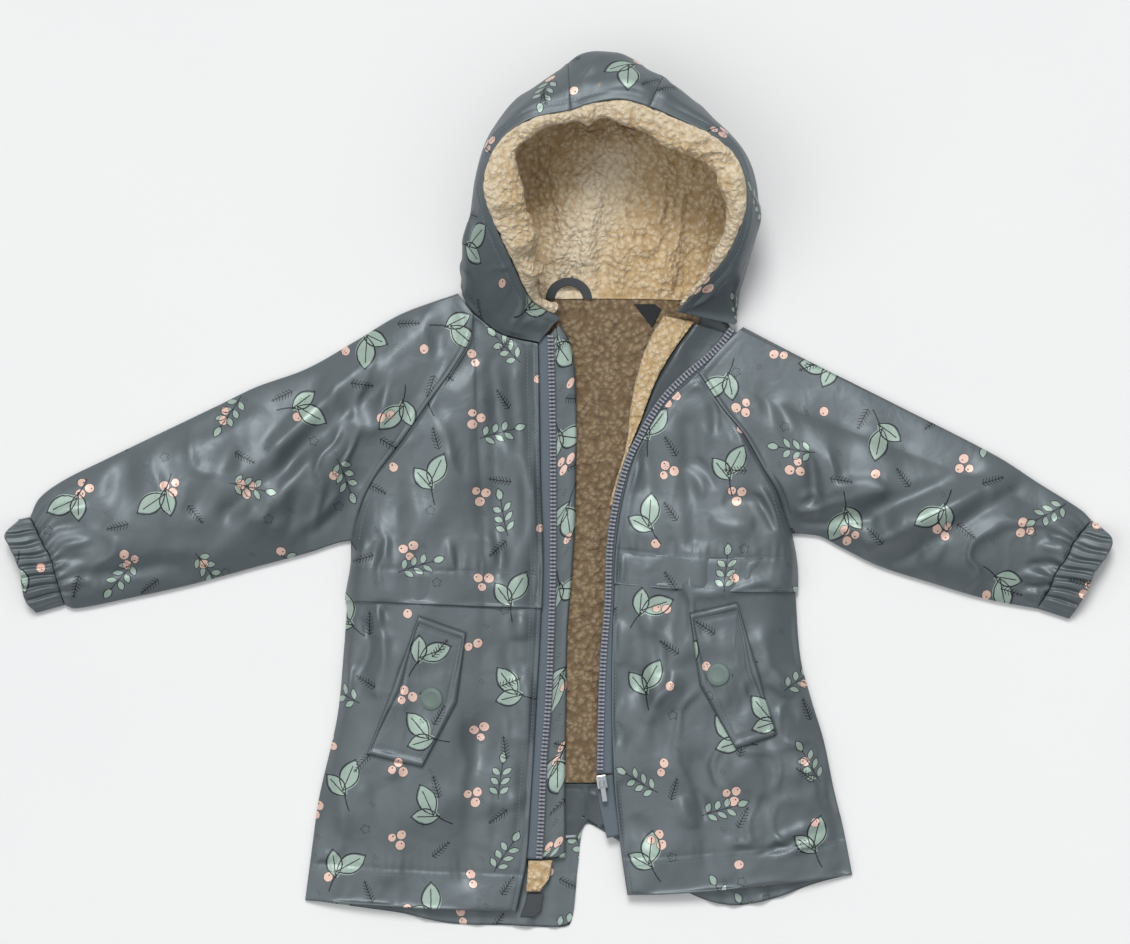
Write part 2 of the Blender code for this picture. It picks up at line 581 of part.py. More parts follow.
def lining_line(along):
    """One line of the hood lining, from the roll at the face to the neck."""
    face = hood_surface(along, 0)
    inward = (HOOD_CORE - face).to_2d().normalized().to_3d()
    run = (hood_surface(min(along + 0.01, 1), 0) - hood_surface(max(along - 0.01, 0), 0)).normalized()
    up = (UP - run * run.z).normalized()
    depth = 1 - 0.3 * max(ease((along - 0.83) / 0.06), ease((0.1 - along) / 0.05))
    roll = [face + inward * (LIP(along).x * row.share + row.beyond) - up * row.down * depth
            for row in LIP_ROWS]
    reach = 0.996 - 0.3 * ease((along - 0.84) / 0.14)
    clear = CLOTH + GAP + PILE + NECK_SLACK * math.exp(-((along - 0.2) / 0.06) ** 2)
    return roll + [hood_inside(along, down * reach, clear) for down in HOOD_DOWN[1:]]


def make_hood_lining():
    """The pile lining of the hood, cut in three like its shell."""
    for panel in HOOD_PANELS:
        lines = {min(max(along, LINING_START), LINING_END)
                 for along in spaced(panel.lines, panel.start, panel.end)}
        rows = [lining_line(along) for along in sorted(lines)]
        sheet("lining_" + panel.name, rows, "pile", PILE, core=HOOD_CORE, inward=True)


# ---------------------------------------------------------------- back
def make_back():
    side_left = smooth([(x + BACK_INSET, y) for x, y, _ in LEFT_SIDE])
    side_right = smooth([(x - BACK_INSET, y) for x, y, _ in RIGHT_SIDE])
    raglan_left = smooth([(x + BACK_INSET, y) for x, y, _ in LEFT_RAGLAN])
    raglan_right = smooth([BACK_TOP[-1], (138, 126)] + [(x - BACK_INSET, y) for x, y, _ in RIGHT_RAGLAN])
    left = joined(raglan_left, side_left, 0.42)
    right = joined(raglan_right, side_right, 0.42)
    plan = patch(smooth(BACK_TOP), smooth(BACK_HEM), left, right)

    def point(u, v):
        place = plan(u, v)
        near_hem = ease((v - 0.86) / 0.14)
        lift = sum(tuck.height * math.exp(-((place.x - tuck.x) / tuck.width) ** 2) for tuck in TAIL_TUCKS)
        place.z = BACK_CLOTH + lift * near_hem
        return place

    columns = spaced(24)
    rows = [[point(u, v) for u in columns] for v in BACK_ROWS]
    sheet("back", rows, "cloth", BACK_CLOTH)


def make_back_lining():
    sides = smooth(LINING_LEFT_EDGE), smooth(LINING_RIGHT_EDGE)
    plan = patch(smooth(LINING_TOP), smooth(LINING_BOTTOM), *sides)

    def point(u, v):
        place = plan(u, v)
        place.z = BACK_CLOTH + GAP + PILE
        return place

    rows = [[point(u, v) for u in spaced(8)] for v in spaced(12)]
    sheet("back_lining", rows, "pile", PILE)


# ---------------------------------------------------------------- facings, strips, tapes
def strip(name, inner, outer, look, thickness, across=2, along=16, bow=1.0):
    """A long strip between two edges; a bow above 1 keeps it low towards the outer one."""
    first, second = smooth(inner), smooth(outer)
    rows = []
    for t in spaced(along):
        row = [first(t).lerp(second(t), s) for s in spaced(across)]
        for point, s in zip(row, spaced(across)):
            point.z = second(t).z + (first(t).z - second(t).z) * (1 - s) ** bow
        rows.append(row)
    sheet(name, rows, look, thickness)


def tape_top(level):
    """Upper face of a tape sewn under an edge whose own upper face is at this level."""
    return level - CLOTH - GAP - 0.2


def below_tape(edge, opening):
    """An edge of a facing, under the tape."""
    return [(x, y, tape_top(opening(y)) - TAPE - 1.4 * GAP) for x, y in edge]


def tape_stations(chain, opening, bead, side, count, start=0.0, end=1.0):
    """Sections of a zip tape that lies under a front's edge, with or without the bead of its teeth."""
    line, stations = smooth(chain), []
    for t in spaced(count, start, end):
        place = line(t)
        run = (line(min(t + 0.01, 1)) - line(max(t - 0.01, 0))).normalized()
        under = Vector((-run.y, run.x, 0)) * side
        top = tape_top(opening(place.y))
        half = BEAD_WIDTH / 2
        near, far = -half - 0.6, half + TAPE_HIDDEN
        shoulder, rise = BEAD_HEIGHT - 0.7, BEAD_HEIGHT
        teeth = ((-half, 0), (-half, shoulder), (-half + 0.7, rise), (half - 0.7, rise), (half, shoulder),
                 (half, 0)) if bead else ()
        section = ((near, -TAPE), (near, 0), *teeth, (far, 0), (far, -TAPE))
        stations.append([place.to_2d().to_3d() + under * a + Vector((0, 0, top + b)) for a, b in section])
    return stations


def level_of(rows):
    """Height of an edge as a function of y."""
    ordered = sorted((y, z) for _, y, z in rows)

    def at(y):
        for (y0, z0), (y1, z1) in zip(ordered, ordered[1:]):
            if y <= y1:
                return z0 + (z1 - z0) * min(max((y - y0) / (y1 - y0), 0), 1)
        return ordered[-1][1]

    return at


# ---------------------------------------------------------------- small pieces
def make_flap(side, outline, surface, up):
    """A pocket flap over the front's own points, moved out."""
    middle = Vector((sum(x for x, _ in outline), sum(y for _, y in outline))) / len(outline)
    rings = []
    for shrink in (1.0, 0.84, 0.6, 0.3):
        ring = []
        for i in range(len(outline)):
            for share in (0, 0.33, 0.67):
                corner = Vector(outline[i]).lerp(Vector(outline[(i + 1) % len(outline)]), share)
                ring.append(middle + (corner - middle) * shrink)
        rings.append(ring)
    made = bmesh.new()

    def vertex(place):
        return made.verts.new(lifted(surface, *place_on(surface, *place), FLAP_GAP + FLAP_CLOTH, up) * MM)

    loops = [[vertex(place) for place in ring] for ring in rings]
    hub = vertex(middle)
    count = len(loops[0])
    for outer, inner in zip(loops, loops[1:]):
        for j in range(count):
            k = (j + 1) % count
            made.faces.new((outer[j], outer[k], inner[k], inner[j]))
    for j in range(count):
        made.faces.new((loops[-1][j], loops[-1][(j + 1) % count], hub))
    bmesh.ops.recalc_face_normals(made, faces=made.faces)
    mesh = bpy.data.meshes.new("pocket_flap_" + side)
    made.to_mesh(mesh)
    made.free()
    turn_out(mesh, None)
    flap = keep("pocket_flap_" + side, mesh, "cloth")
    wall = flap.modifiers.new("wall", "SOLIDIFY")
    wall.thickness = FLAP_CLOTH * MM
    wall.offset = -1.0


def make_snap(side, place, surface, sign):
    """A round cap pressed through the flap: a turned profile on the flap's slope."""
    u, v = place_on(surface, *place)
    up = normal_of(surface, u, v) * sign
    base = surface(u, v) + up * (FLAP_GAP + FLAP_CLOTH + 0.4)
    profile = ((0, SNAP_HEIGHT), (5.6, SNAP_HEIGHT), (6.4, SNAP_HEIGHT - 0.5), (8.0, SNAP_HEIGHT - 0.3),
               (9.2, SNAP_HEIGHT - 0.8), (SNAP_RADIUS, SNAP_HEIGHT - 1.8), (SNAP_RADIUS, 0), (0, 0))
    mesh = bpy.data.meshes.new("snap_" + side)
    mesh.from_pydata([Vector((r, 0, h)) * MM for r, h in profile], [(i, i + 1) for i in range(7)], [])
    cap = keep("snap_" + side, mesh, "snap")
    cap.location += base * MM
    cap.rotation_euler = up.to_track_quat("Z", "Y").to_euler()
    turn = cap.modifiers.new("turn", "SCREW")
    turn.steps = turn.render_steps = 24
    turn.use_merge_vertices = True
    turn.merge_threshold = 1e-5


def make_loop():
    """The hanger loop: a half ring of tape that lies on the hood's lining."""
    low = BACK_CLOTH + PILE + 1.9
    stations = []
    for angle in spaced(14, 0, math.pi):
        out = Vector((math.cos(angle), 0.92 * math.sin(angle), 0))
        centre = Vector((LOOP_CENTRE[0], LOOP_CENTRE[1], low)) + out * LOOP_RADIUS
        half = out * (LOOP_WIDTH / 2)
        rise = Vector((0, 0, LOOP_CLOTH))
        tip = Vector((0, 0, 1.2 * math.sin(angle)))
        stations.append([centre - half + tip, centre + half + tip, centre + half + rise + tip,
                         centre - half + rise + tip])
    swept("hanger_loop", stations, "tape")


def slider_frame():
    return Matrix.Translation(Vector((*SLIDER_AT, slider_base()))) @ Matrix.Rotation(SLIDER_TURN, 4, "Z")


def slider_base():
    return tape_top(right_level(SLIDER_AT[1])) + 0.35


def box(low, high):
    """A box between two corners, as a new mesh in bmesh."""
    made = bmesh.new()
    bmesh.ops.create_cube(made, size=1.0)
    size = Vector(high) - Vector(low)
    bmesh.ops.scale(made, vec=size, verts=made.verts)
    bmesh.ops.translate(made, vec=(Vector(high) + Vector(low)) / 2, verts=made.verts)
    return made


def as_object(made, name, group):
    for vert in made.verts:
        vert.co = slider_frame() @ vert.co * MM
    mesh = bpy.data.meshes.new(name)
    made.to_mesh(mesh)
    made.free()
    new = bpy.data.objects.new(name, mesh)
    new.location = -ORIGIN * MM
    group.objects.link(new)
    return new


def cut(target, tool, way):
    change = target.modifiers.new(tool.name, "BOOLEAN")
    change.operation = way
    change.object = tool
    tool.hide_render = True
    tool.display_type = "WIRE"


def make_slider():
    """Slider body with the arch that carries the pull."""
    wide, long, high = SLIDER_SIZE
    body = as_object(box((-wide / 2, -long / 2, 0), (wide / 2, long / 2, high)), "zip_slider", parka)
    body.data.materials.append(material("zip_slider_metal", *LOOKS["metal"]))
    round_off = body.modifiers.new("rounded", "BEVEL")
    round_off.width = 1.0 * MM
    round_off.segments = 2
    top = high + BRIDGE_CLEAR + BRIDGE_THICK
    arch = as_object(box((-BRIDGE_WIDTH / 2, -BRIDGE_LENGTH / 2, high - 1),
                         (BRIDGE_WIDTH / 2, BRIDGE_LENGTH / 2, top)), "arch", cutters)
    inner = BRIDGE_LENGTH / 2 - BRIDGE_THICK
    way = as_object(box((-BRIDGE_WIDTH, -inner, high), (BRIDGE_WIDTH, inner, high + BRIDGE_CLEAR)),
                    "way", cutters)
    cut(body, arch, "UNION")
    cut(body, way, "DIFFERENCE")


def make_pull():
    """The pull tab, flat along the tape; its cross pin runs under the slider's arch."""
    axis_height = SLIDER_SIZE[2] + BRIDGE_CLEAR / 2
    low, high = axis_height - PULL_PIN / 2, axis_height + PULL_PIN / 2
    wide, pin = PULL_WIDTH / 2, PULL_PIN / 2
    tab = as_object(box((-wide, -PULL_LENGTH, low), (wide, pin, high)), "zip_pull", parka)
    tab.data.materials.append(material("zip_pull_metal", *LOOKS["metal"]))
    half, deep = PULL_WINDOW[0] / 2, PULL_WINDOW[1]
    window = as_object(box((-half, -pin - deep, low - 1), (half, -pin, high + 1)), "window", cutters)
    round_off = tab.modifiers.new("rounded", "BEVEL")
    round_off.width = 0.4 * MM
    round_off.segments = 1
    cut(tab, window, "DIFFERENCE")
    pivot = bpy.data.objects.new("pull_pivot", None)
    parka.objects.link(pivot)
    pivot.location = (slider_frame() @ Vector((0, 0, axis_height)) - ORIGIN) * MM
    tab.parent = pivot
    tab.matrix_parent_inverse = Matrix.Translation(-pivot.location)


# ---------------------------------------------------------------- the parka
for old in list(bpy.data.objects):
    bpy.data.objects.remove(old, do_unlink=True)
parka = bpy.data.collections.new("parka")
cutters = bpy.data.collections.new("cutters")
for group in (parka, cutters):
    bpy.context.scene.collection.children.link(group)

left_front = front_surface(LEFT_NECK, LEFT_RAGLAN, LEFT_SIDE, LEFT_OPENING, LEFT_HEM, 0.22)
right_front = front_surface(RIGHT_NECK, RIGHT_RAGLAN, RIGHT_SIDE, RIGHT_OPENING, RIGHT_HEM, 0.02)
LEFT_UP, RIGHT_UP = 1.0, -1.0       # which way the normal of a front's u and v looks
left_level = level_of(LEFT_OPENING)
right_level = level_of(RIGHT_OPENING + SLEEVE_RIGHT_NECK[:2])
make_back()
make_back_lining()
plate("hem_facing", HEM_FACING, BACK_CLOTH + GAP + 1.4, 1.4, "facing")
make_front("left", left_front, LEFT_YOKE_EDGE, LEFT_UP)
make_front("right", right_front, RIGHT_YOKE_EDGE, RIGHT_UP)
make_sleeve("left", SLEEVE_LEFT_UPPER, SLEEVE_LEFT_LOWER, SLEEVE_LEFT_WRIST, SLEEVE_LEFT_NECK,
            LEFT_RAGLAN)
make_sleeve("right", SLEEVE_RIGHT_UPPER, SLEEVE_RIGHT_LOWER, SLEEVE_RIGHT_WRIST, SLEEVE_RIGHT_NECK,
            RIGHT_RAGLAN)
make_cuff("left", SLEEVE_LEFT_WRIST, CUFF_LEFT_END)
make_cuff("right", SLEEVE_RIGHT_WRIST, CUFF_RIGHT_END)
make_hood()
make_hood_lining()
strip("facing_left", below_tape(FACING_LEFT_IN, left_level), FACING_LEFT_OUT, "facing", CLOTH)
strip("facing_right", FACING_RIGHT_IN, below_tape(FACING_RIGHT_OUT, right_level), "facing", CLOTH,
      across=4, bow=2.2)
strip("lining_strip", STRIP_RIGHT_IN, STRIP_RIGHT_OUT, "pile", PILE)
swept("zip_tape_left", tape_stations(CHAIN_LEFT, left_level, True, -1, 26), "tape")
swept("zip_tape_right", tape_stations(CHAIN_RIGHT, right_level, True, 1, 34), "tape")
swept("zip_tape_tail", tape_stations(TAPE_RIGHT_TAIL, right_level, False, 1, 4, 0.035), "tape")
make_flap("left", FLAP_LEFT, left_front, LEFT_UP)
make_flap("right", FLAP_RIGHT, right_front, RIGHT_UP)
make_snap("left", SNAP_LEFT, left_front, LEFT_UP)
make_snap("right", SNAP_RIGHT, right_front, RIGHT_UP)
plate("neck_label", LABEL, BACK_CLOTH + 2 * GAP + PILE + 1.0, 1.0, "label")
plate("zip_patch", ZIP_PATCH, ZIP_PATCH_HEIGHT, 2.0, "pile")
plate("hem_tab", HEM_TAB, HEM_TAB_HEIGHT, 1.6, "tape")
make_loop()
make_slider()
make_pull()
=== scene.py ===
"""Looks of a child's hooded parka that lies flat on its back, its zip undone and its arms spread.

The tables and surfaces are those of the solids, walked at a finer pitch. Creases, seams, stitches,
pile, teeth and the print are added here. Tables are in millimetres: x across, y towards the hood,
z up. Meshes are in metres. Left and right are those of the view from above.
"""
import math
from collections import namedtuple
from functools import partialmethod, reduce
from itertools import product

import bmesh
import bpy
import numpy as np
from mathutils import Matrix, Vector
from mathutils.bvhtree import BVHTree


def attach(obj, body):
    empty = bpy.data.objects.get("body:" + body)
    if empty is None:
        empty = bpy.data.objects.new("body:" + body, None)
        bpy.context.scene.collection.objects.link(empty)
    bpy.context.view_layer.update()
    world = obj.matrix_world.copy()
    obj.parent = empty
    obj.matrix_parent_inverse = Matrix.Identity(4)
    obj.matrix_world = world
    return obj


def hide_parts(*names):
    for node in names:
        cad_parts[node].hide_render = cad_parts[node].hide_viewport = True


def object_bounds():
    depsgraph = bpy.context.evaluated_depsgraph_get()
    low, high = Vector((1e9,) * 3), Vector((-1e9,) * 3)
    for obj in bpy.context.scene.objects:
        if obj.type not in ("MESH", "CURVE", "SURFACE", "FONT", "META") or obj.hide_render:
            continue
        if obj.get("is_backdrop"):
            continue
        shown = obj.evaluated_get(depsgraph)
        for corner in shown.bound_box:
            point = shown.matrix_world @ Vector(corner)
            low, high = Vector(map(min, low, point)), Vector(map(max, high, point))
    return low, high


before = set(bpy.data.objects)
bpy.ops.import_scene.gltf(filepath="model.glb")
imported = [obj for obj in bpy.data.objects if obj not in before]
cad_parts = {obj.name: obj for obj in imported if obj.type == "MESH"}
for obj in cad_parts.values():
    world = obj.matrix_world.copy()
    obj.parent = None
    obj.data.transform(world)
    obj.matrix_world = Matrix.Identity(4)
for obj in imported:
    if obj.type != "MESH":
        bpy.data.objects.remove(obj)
cad_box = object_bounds()

MM = 0.001
ORIGIN = np.array((-0.98, -2.67, 0.0))      # middle of the parka's box in the tables below
UP = np.array((0, 0, 1.0))

# ---------------------------------------------------------------- driving sizes (mm)
SHELL = 1.3             # thickness of the coated cloth as it shows at an edge
PITCH = 2.6             # grid pitch of the cloth
CLOTH = 2.0             # coated cloth with its backing
PILE = 4.2              # pile lining, its base cloth and the pressed nap
GAP = 0.5               # between a piece and the one it lies on
BACK_INSET = 3.4        # the back's side edges stay this far inside the fronts' and sleeves'
SLEEVE_INSET = 0.0008   # share of the sleeve's length that the raglan seam takes
BACK_CLOTH = 1.6        # back panel, pressed on the surface
FLAP_GAP = 0.9          # the flap stands a little off the front
FLAP_CLOTH = 3.0        # pocket flap, two layers and their turnings
TAPE = 1.0              # zip tape
TAPE_HIDDEN = 8.0       # how far the tape runs on under the front's edge
BEAD_WIDTH = 5.6        # number 5 zip teeth
SNAP_RADIUS = 10.0
LOOP_WIDTH = 6.0        # hanger loop tape
LOOP_CLOTH = 1.4
CUFF_GATHERS = 9        # on the upper side of each cuff
CUFF_GATHER_HEIGHT = 2.0
CUFF_INSET = 0.008      # share of the cuff's length that its seam takes
WRIST_INSET = 0.0013    # the same at the sleeve's end
SLEEVE_EDGE = 4.6       # height of a sleeve's rolled outer edge
YOKE_LIFT = CLOTH + GAP + 0.3   # how far the yoke's hem lies above the front
RAGLAN_INSET = 0.0012   # share of a front's length that the raglan seam takes

Fold = namedtuple("Fold", "x0 y0 x1 y1 width height")
FOLDS = [Fold(*row) for row in (
    (-31, 118, -33, -140, 11, 2.4),     # ridge along the left opening
    (-56, 112, -53, -70, 10, -3.2),     # trough beside it
    (-150, -112, -158, -170, 8, 2.4),   # left front, under the yoke
    (-70, -210, -82, -330, 13, -2.6),   # left front, to the hem
    (-175, -240, -150, -330, 12, 2.2),
    (112, 56, 116, -40, 11, -3.0),      # right chest
    (78, -112, 80, -190, 10, 2.2),      # right front, beside the zip
    (176, -128, 204, -240, 13, 2.6),
    (120, -235, 128, -335, 13, -2.4),
    (222, -262, 243, -315, 9, 1.8),
    (-168, 112, -242, 40, 10, 3.2),     # left sleeve, from the shoulder
    (-158, 88, -285, -18, 11, -3.4),
    (-262, -22, -232, -36, 10, 2.0),
    (-405, -72, -335, -62, 10, -2.6),
    (-330, 30, -262, 62, 13, 2.0),
    (388, 16, 266, -50, 11, 3.6),       # right sleeve, towards the underarm
    (392, 0, 290, -62, 8, -2.6),
    (210, -18, 276, 2, 7, 2.6),         # right underarm
    (214, -27, 268, -24, 6, -2.2),
    (230, 70, 300, 44, 14, -2.0),
)]

# ---------------------------------------------------------------- outlines (x, y, z of the outer face)
LEFT_NECK = ((-17.5, 127.5, 17), (-39, 132, 18.5), (-53, 137, 19), (-66, 147, 18.5), (-74, 153, 18))
LEFT_RAGLAN = ((-74, 153, 18), (-77, 131, 20), (-93, 104, 22), (-111, 79, 23), (-137, 42, 22),
               (-161, 9, 18), (-174, -20, 11), (-178, -42, 4.4))
LEFT_SIDE = ((-178, -42, 4.4), (-178, -64, 3.8), (-183, -94, 3.8), (-186, -133, 3.8),
             (-192, -194, 3.8), (-208, -265, 3.8), (-213, -300, 3.8), (-220, -353, 3.8))
LEFT_OPENING = ((-17.5, 127.5, 17), (-16, 36, 17), (-14, -59, 17), (-16, -128, 16.5),
                (-19, -179, 16), (-24, -265, 15), (-28, -317, 14), (-37, -363, 11.5))
LEFT_HEM = ((-37, -363, 11.5), (-43, -362, 11.6), (-102, -360, 12.2), (-172, -356, 8.6),
            (-220, -353, 3.8))

RIGHT_NECK = ((119, 103, 17.6), (120, 102, 17.6))
RIGHT_RAGLAN = ((120, 102, 17.6), (140, 72, 20.5), (158, 50, 21.5), (177, 17, 20), (187, 0, 17),
                (194, -21, 11), (198, -36, 4.4))
RIGHT_SIDE = ((198, -36, 4.4), (203, -64, 3.8), (204, -92, 3.8), (208, -143, 3.8), (217, -178, 3.8),
              (228, -214, 3.8), (237, -257, 3.8), (245, -290, 3.8), (253, -331, 3.8))
RIGHT_OPENING = ((119, 103, 17.6), (98, 83, 17.6), (84, 66, 17.6), (65, 32, 17.6), (56, 2, 17.4),
                 (49, -40, 17), (46, -92, 17), (44, -168, 16.5), (46, -245, 15.5), (52, -306, 14),
                 (58, -348, 12))
RIGHT_HEM = ((58, -348, 12), (94, -347, 12.6), (146, -343, 12.2), (201, -337, 9), (253, -331, 3.8))

LEFT_YOKE_EDGE = ((-15, -101), (-96, -98), (-183, -94))
RIGHT_YOKE_EDGE = ((46, -80), (128, -86), (204, -87))
YOKE_OVERLAP = 30.0     # the yoke's hem, below the seam that holds it

SLEEVE_LEFT_UPPER = ((-457, -22), (-449, -6), (-429, 9), (-393, 27), (-341, 52), (-293, 75),
                     (-262, 90), (-218, 106), (-174, 131), (-137, 153), (-87.5, 171))
SLEEVE_LEFT_LOWER = ((-427, -98), (-418, -101), (-376, -93), (-321, -81), (-262, -65), (-218, -53),
                     (-191, -44), (-178.6, -42))
SLEEVE_LEFT_WRIST = ((-457, -22), (-444, -47), (-438, -57), (-434, -72), (-427, -98))
SLEEVE_LEFT_NECK = ((-87.5, 171, 8), (-81, 162, 14), (-74, 153, 18))
SLEEVE_RIGHT_UPPER = ((459, -25), (450, -16), (412, 8), (378, 30), (292, 74), (208, 116),
                      (158, 142))
SLEEVE_RIGHT_LOWER = ((412, -101), (369, -93), (318, -78), (275, -64), (241, -47), (226, -39),
                      (210, -36.5), (198.6, -36))
SLEEVE_RIGHT_WRIST = ((459, -25), (442, -45), (437, -56), (427, -70), (422, -84), (412, -101))
SLEEVE_RIGHT_NECK = ((158, 142, 8), (141, 126, 13), (120, 102, 17.6))
WRIST_CREST = 21.0
ARM_CREST = 31.0

CUFF_LEFT_END = ((-466, -24), (-478, -37), (-474, -47), (-469, -57), (-464, -71), (-463, -82),
                 (-460, -95), (-452, -105))
CUFF_RIGHT_END = ((464, -28), (476, -41), (472, -54), (461, -69), (456, -81), (448, -97), (440, -110))
CUFF_CREST = 22.0

BACK_TOP = ((-72, 153), (-62, 162), (-30, 163), (30, 163), (90, 163), (122, 159.6), (138, 152),
            (147, 143))
BACK_HEM = ((-219, -351), (-139, -362), (-97, -371), (-40, -373), (-2, -374.5), (9, -371),
            (16, -320), (22, -286), (40, -293), (82, -322), (112, -345), (149, -356), (184, -351),
            (221, -338), (252, -330))
Tuck = namedtuple("Tuck", "x width height")
TAIL_TUCKS = (Tuck(-118, 12, 3.0), Tuck(-72, 9, 2.4), Tuck(-30, 8, 3.4), Tuck(-4, 6, 2.6),
              Tuck(133, 7, 3.2), Tuck(152, 6, 2.4), Tuck(172, 7, 3.0), Tuck(196, 8, 2.4))
LINING_TOP = ((-58, 163.7), (0, 163.2), (60, 163.2), (106, 162.8), (124, 159))
LINING_BOTTOM = ((-186, -251), (0, -251), (214, -251))
LINING_LEFT_EDGE = ((-58, 163.7), (-64, 120), (-92, 80), (-118, 40), (-146, -6), (-160, -44),
                    (-164, -120), (-172, -190), (-186, -251))
LINING_RIGHT_EDGE = ((124, 159), (108, 96), (128, 60), (158, 20), (176, -12), (182, -44), (186, -120),
                     (198, -190), (214, -251))

# Hood, from the left front corner over the crown to the right front corner. Each row is one line
# of the cloth, from the face edge down the outside and under the head to the neck seam.
HoodLine = namedtuple("HoodLine", "face shoulder belly heel sole neck lip")
HOOD = [HoodLine(*row) for row in (
    ((1, 149.5, 19), (-3, 145.5, 19), (-7, 141.5, 19), (-10, 137.5, 18.8), (-14, 133.5, 18.2),
             (-17.5, 128.6, 17.4), 5),
    ((-21, 161, 30), (-24, 156, 29.5), (-28, 151, 28),
             (-32, 146, 26), (-36, 141, 23.4), (-39.3, 132.9, 18.7), 9),
    ((-31, 175, 45), (-36, 169, 43), (-42, 162, 39),
             (-48, 154, 33), (-53, 147, 27), (-53.6, 138, 19.2), 14),
    ((-39, 192, 60), (-47, 186, 57), (-57, 178, 50),
             (-66, 169, 40), (-72, 162, 29), (-73.8, 154.4, 18.4), 22),
    ((-49, 213, 74), (-59, 206, 69), (-71, 197, 57),
             (-81, 187, 40), (-84, 178, 24), (-84, 170, 12), 28),
    ((-59, 235, 84), (-68, 228, 76), (-80, 215, 56),
             (-84, 200, 30), (-79, 186, 9), (-78, 168, 2), 31),
    ((-65, 256, 90), (-71, 252, 80), (-77, 240, 54),
             (-76, 224, 20), (-64, 200, 0.6), (-60, 164.6, 0), 32),
    ((-63, 275, 93), (-68, 275, 82), (-72, 267, 54),
             (-68, 250, 16), (-50, 220, 0), (-42, 164, 0), 28),
    ((-50, 299, 95), (-56, 304, 84), (-60, 303, 54),
             (-54, 286, 15), (-34, 245, 0), (-24, 164, 0), 17),
    ((-24, 316, 96), (-31, 328, 86), (-36, 335, 56),
             (-32, 318, 15), (-16, 262, 0), (-6, 164, 0), 12),
    ((9, 323, 97), (8, 345, 88), (7, 366, 58), (8, 348, 15), (9, 275, 0), (12, 164, 0), 12),
    ((28, 329, 98), (28, 351, 89), (28, 371, 58),
             (28, 353, 15), (28, 280, 0), (28, 164, 0), 15),
    ((52, 332, 98), (54, 352, 89), (57, 368, 58),
             (54, 350, 15), (50, 280, 0), (44, 164, 0), 20),
    ((76, 326, 97), (84, 344, 88), (89, 354, 58),
             (84, 336, 15), (70, 272, 0), (60, 164, 0), 23),
    ((102, 315, 96), (113, 327, 87), (120, 328, 57),
             (112, 310, 15), (88, 258, 0), (76, 164, 0), 25),
    ((128, 303, 96), (139, 309, 86), (148, 302, 55),
             (136, 286, 15), (104, 240, 0), (92, 164, 0), 26),
    ((145, 290, 95), (155, 291, 84), (163, 281, 54),
             (151, 265, 15), (118, 222, 0), (106, 163.6, 0), 25),
    ((155, 274, 94), (163, 270, 82), (170, 259, 52),
             (159, 243, 15), (130, 205, 0), (118, 162.6, 0), 22),
    ((159, 256, 92), (165, 250, 80), (171, 239, 50),
             (162, 222, 14), (140, 192, 0), (128, 160, 0), 18),
    ((158, 236, 86), (164, 229, 74), (169, 218, 46),
             (162, 202, 14), (149, 182, 0.4), (138, 156, 0), 14),
    ((150, 214, 76), (157, 207, 66), (163, 199, 42),
             (161, 186, 17), (153, 173, 3), (147.5, 152.6, 1), 10),
    ((138, 194, 62), (146, 188, 54), (153, 181, 40),
             (156, 173, 22), (155, 163, 10), (152, 151, 5), 8),
    ((118, 172, 42), (128, 169, 37), (138, 165, 29),
             (145, 160, 21), (150, 154, 14), (153, 147, 9), 6),
    ((101, 154, 25), (111, 152, 22), (121, 150, 19),
             (131, 148, 16), (141, 146, 13), (151, 143.5, 10), 5),
)]
HOOD_CORE = Vector((42, 235, 50))
LEFT_CROWN_SEAM = 10 / (len(HOOD) - 1)
RIGHT_CROWN_SEAM = 13 / (len(HOOD) - 1)

# Facings and lining strips: left and right edges, each (x, y, z of the upper face)
FACING_LEFT_IN = ((-22, 122), (-22, 36), (-20, -59), (-22, -128), (-26, -190), (-31, -270), (-33, -316))
FACING_LEFT_OUT = ((0, 145, 12.6), (9, 128, 12.2), (14, 95, 11.6), (14, 1, 11), (12, -55, 10.6),
                   (7, -117, 9.6), (6, -180, 9), (5, -245, 8.7), (5, -316, 8.3))
CHAIN_LEFT = ((-8, 135), (-7, 92), (-6, 37), (-6, -66), (-8, -133), (-10, -181), (-14, -232),
              (-16, -282), (-18, -317))
CHAIN_RIGHT = ((149, 140), (140, 128), (127, 115), (109, 100), (93, 84), (80, 66), (70, 48), (60, 28),
               (52, 3), (46, -26), (43, -55), (42, -92), (38, -143), (36, -194), (35, -243))
TAPE_RIGHT_TAIL = ((35, -243), (38, -270), (44, -298))
FACING_RIGHT_OUT = ((146, 137), (127, 112), (109, 97), (93, 80), (70, 44), (58, 15), (53, -6))
FACING_RIGHT_IN = ((117, 145, 12.6), (97, 118, 13.6), (84, 95, 14), (70, 59, 13.2), (60, 34, 12.8),
                   (52, 8, 12.6), (49, -4, 12.6))
STRIP_RIGHT_IN = ((90, 151, 14), (80, 136, 13.6), (70, 112, 13), (62, 80, 12.6), (57, 39, 12.6),
                  (46, 1, 12.6), (43, -12, 12.6))
STRIP_RIGHT_OUT = ((115.6, 146, 13), (96, 118.6, 13.8), (83, 95.6, 14), (69, 59.4, 13.2),
                   (59, 34.2, 12.8), (51, 8.2, 12.6), (46, -11, 12.6))

FLAP_LEFT = ((-121, -106), (-80, -121), (-88, -181), (-118, -237), (-166, -226), (-144, -170))
FLAP_RIGHT = ((111, -104), (153, -95), (170, -152), (186, -210), (151, -221), (120, -166))
SNAP_LEFT = (-110, -178)
SNAP_RIGHT = (136, -157)

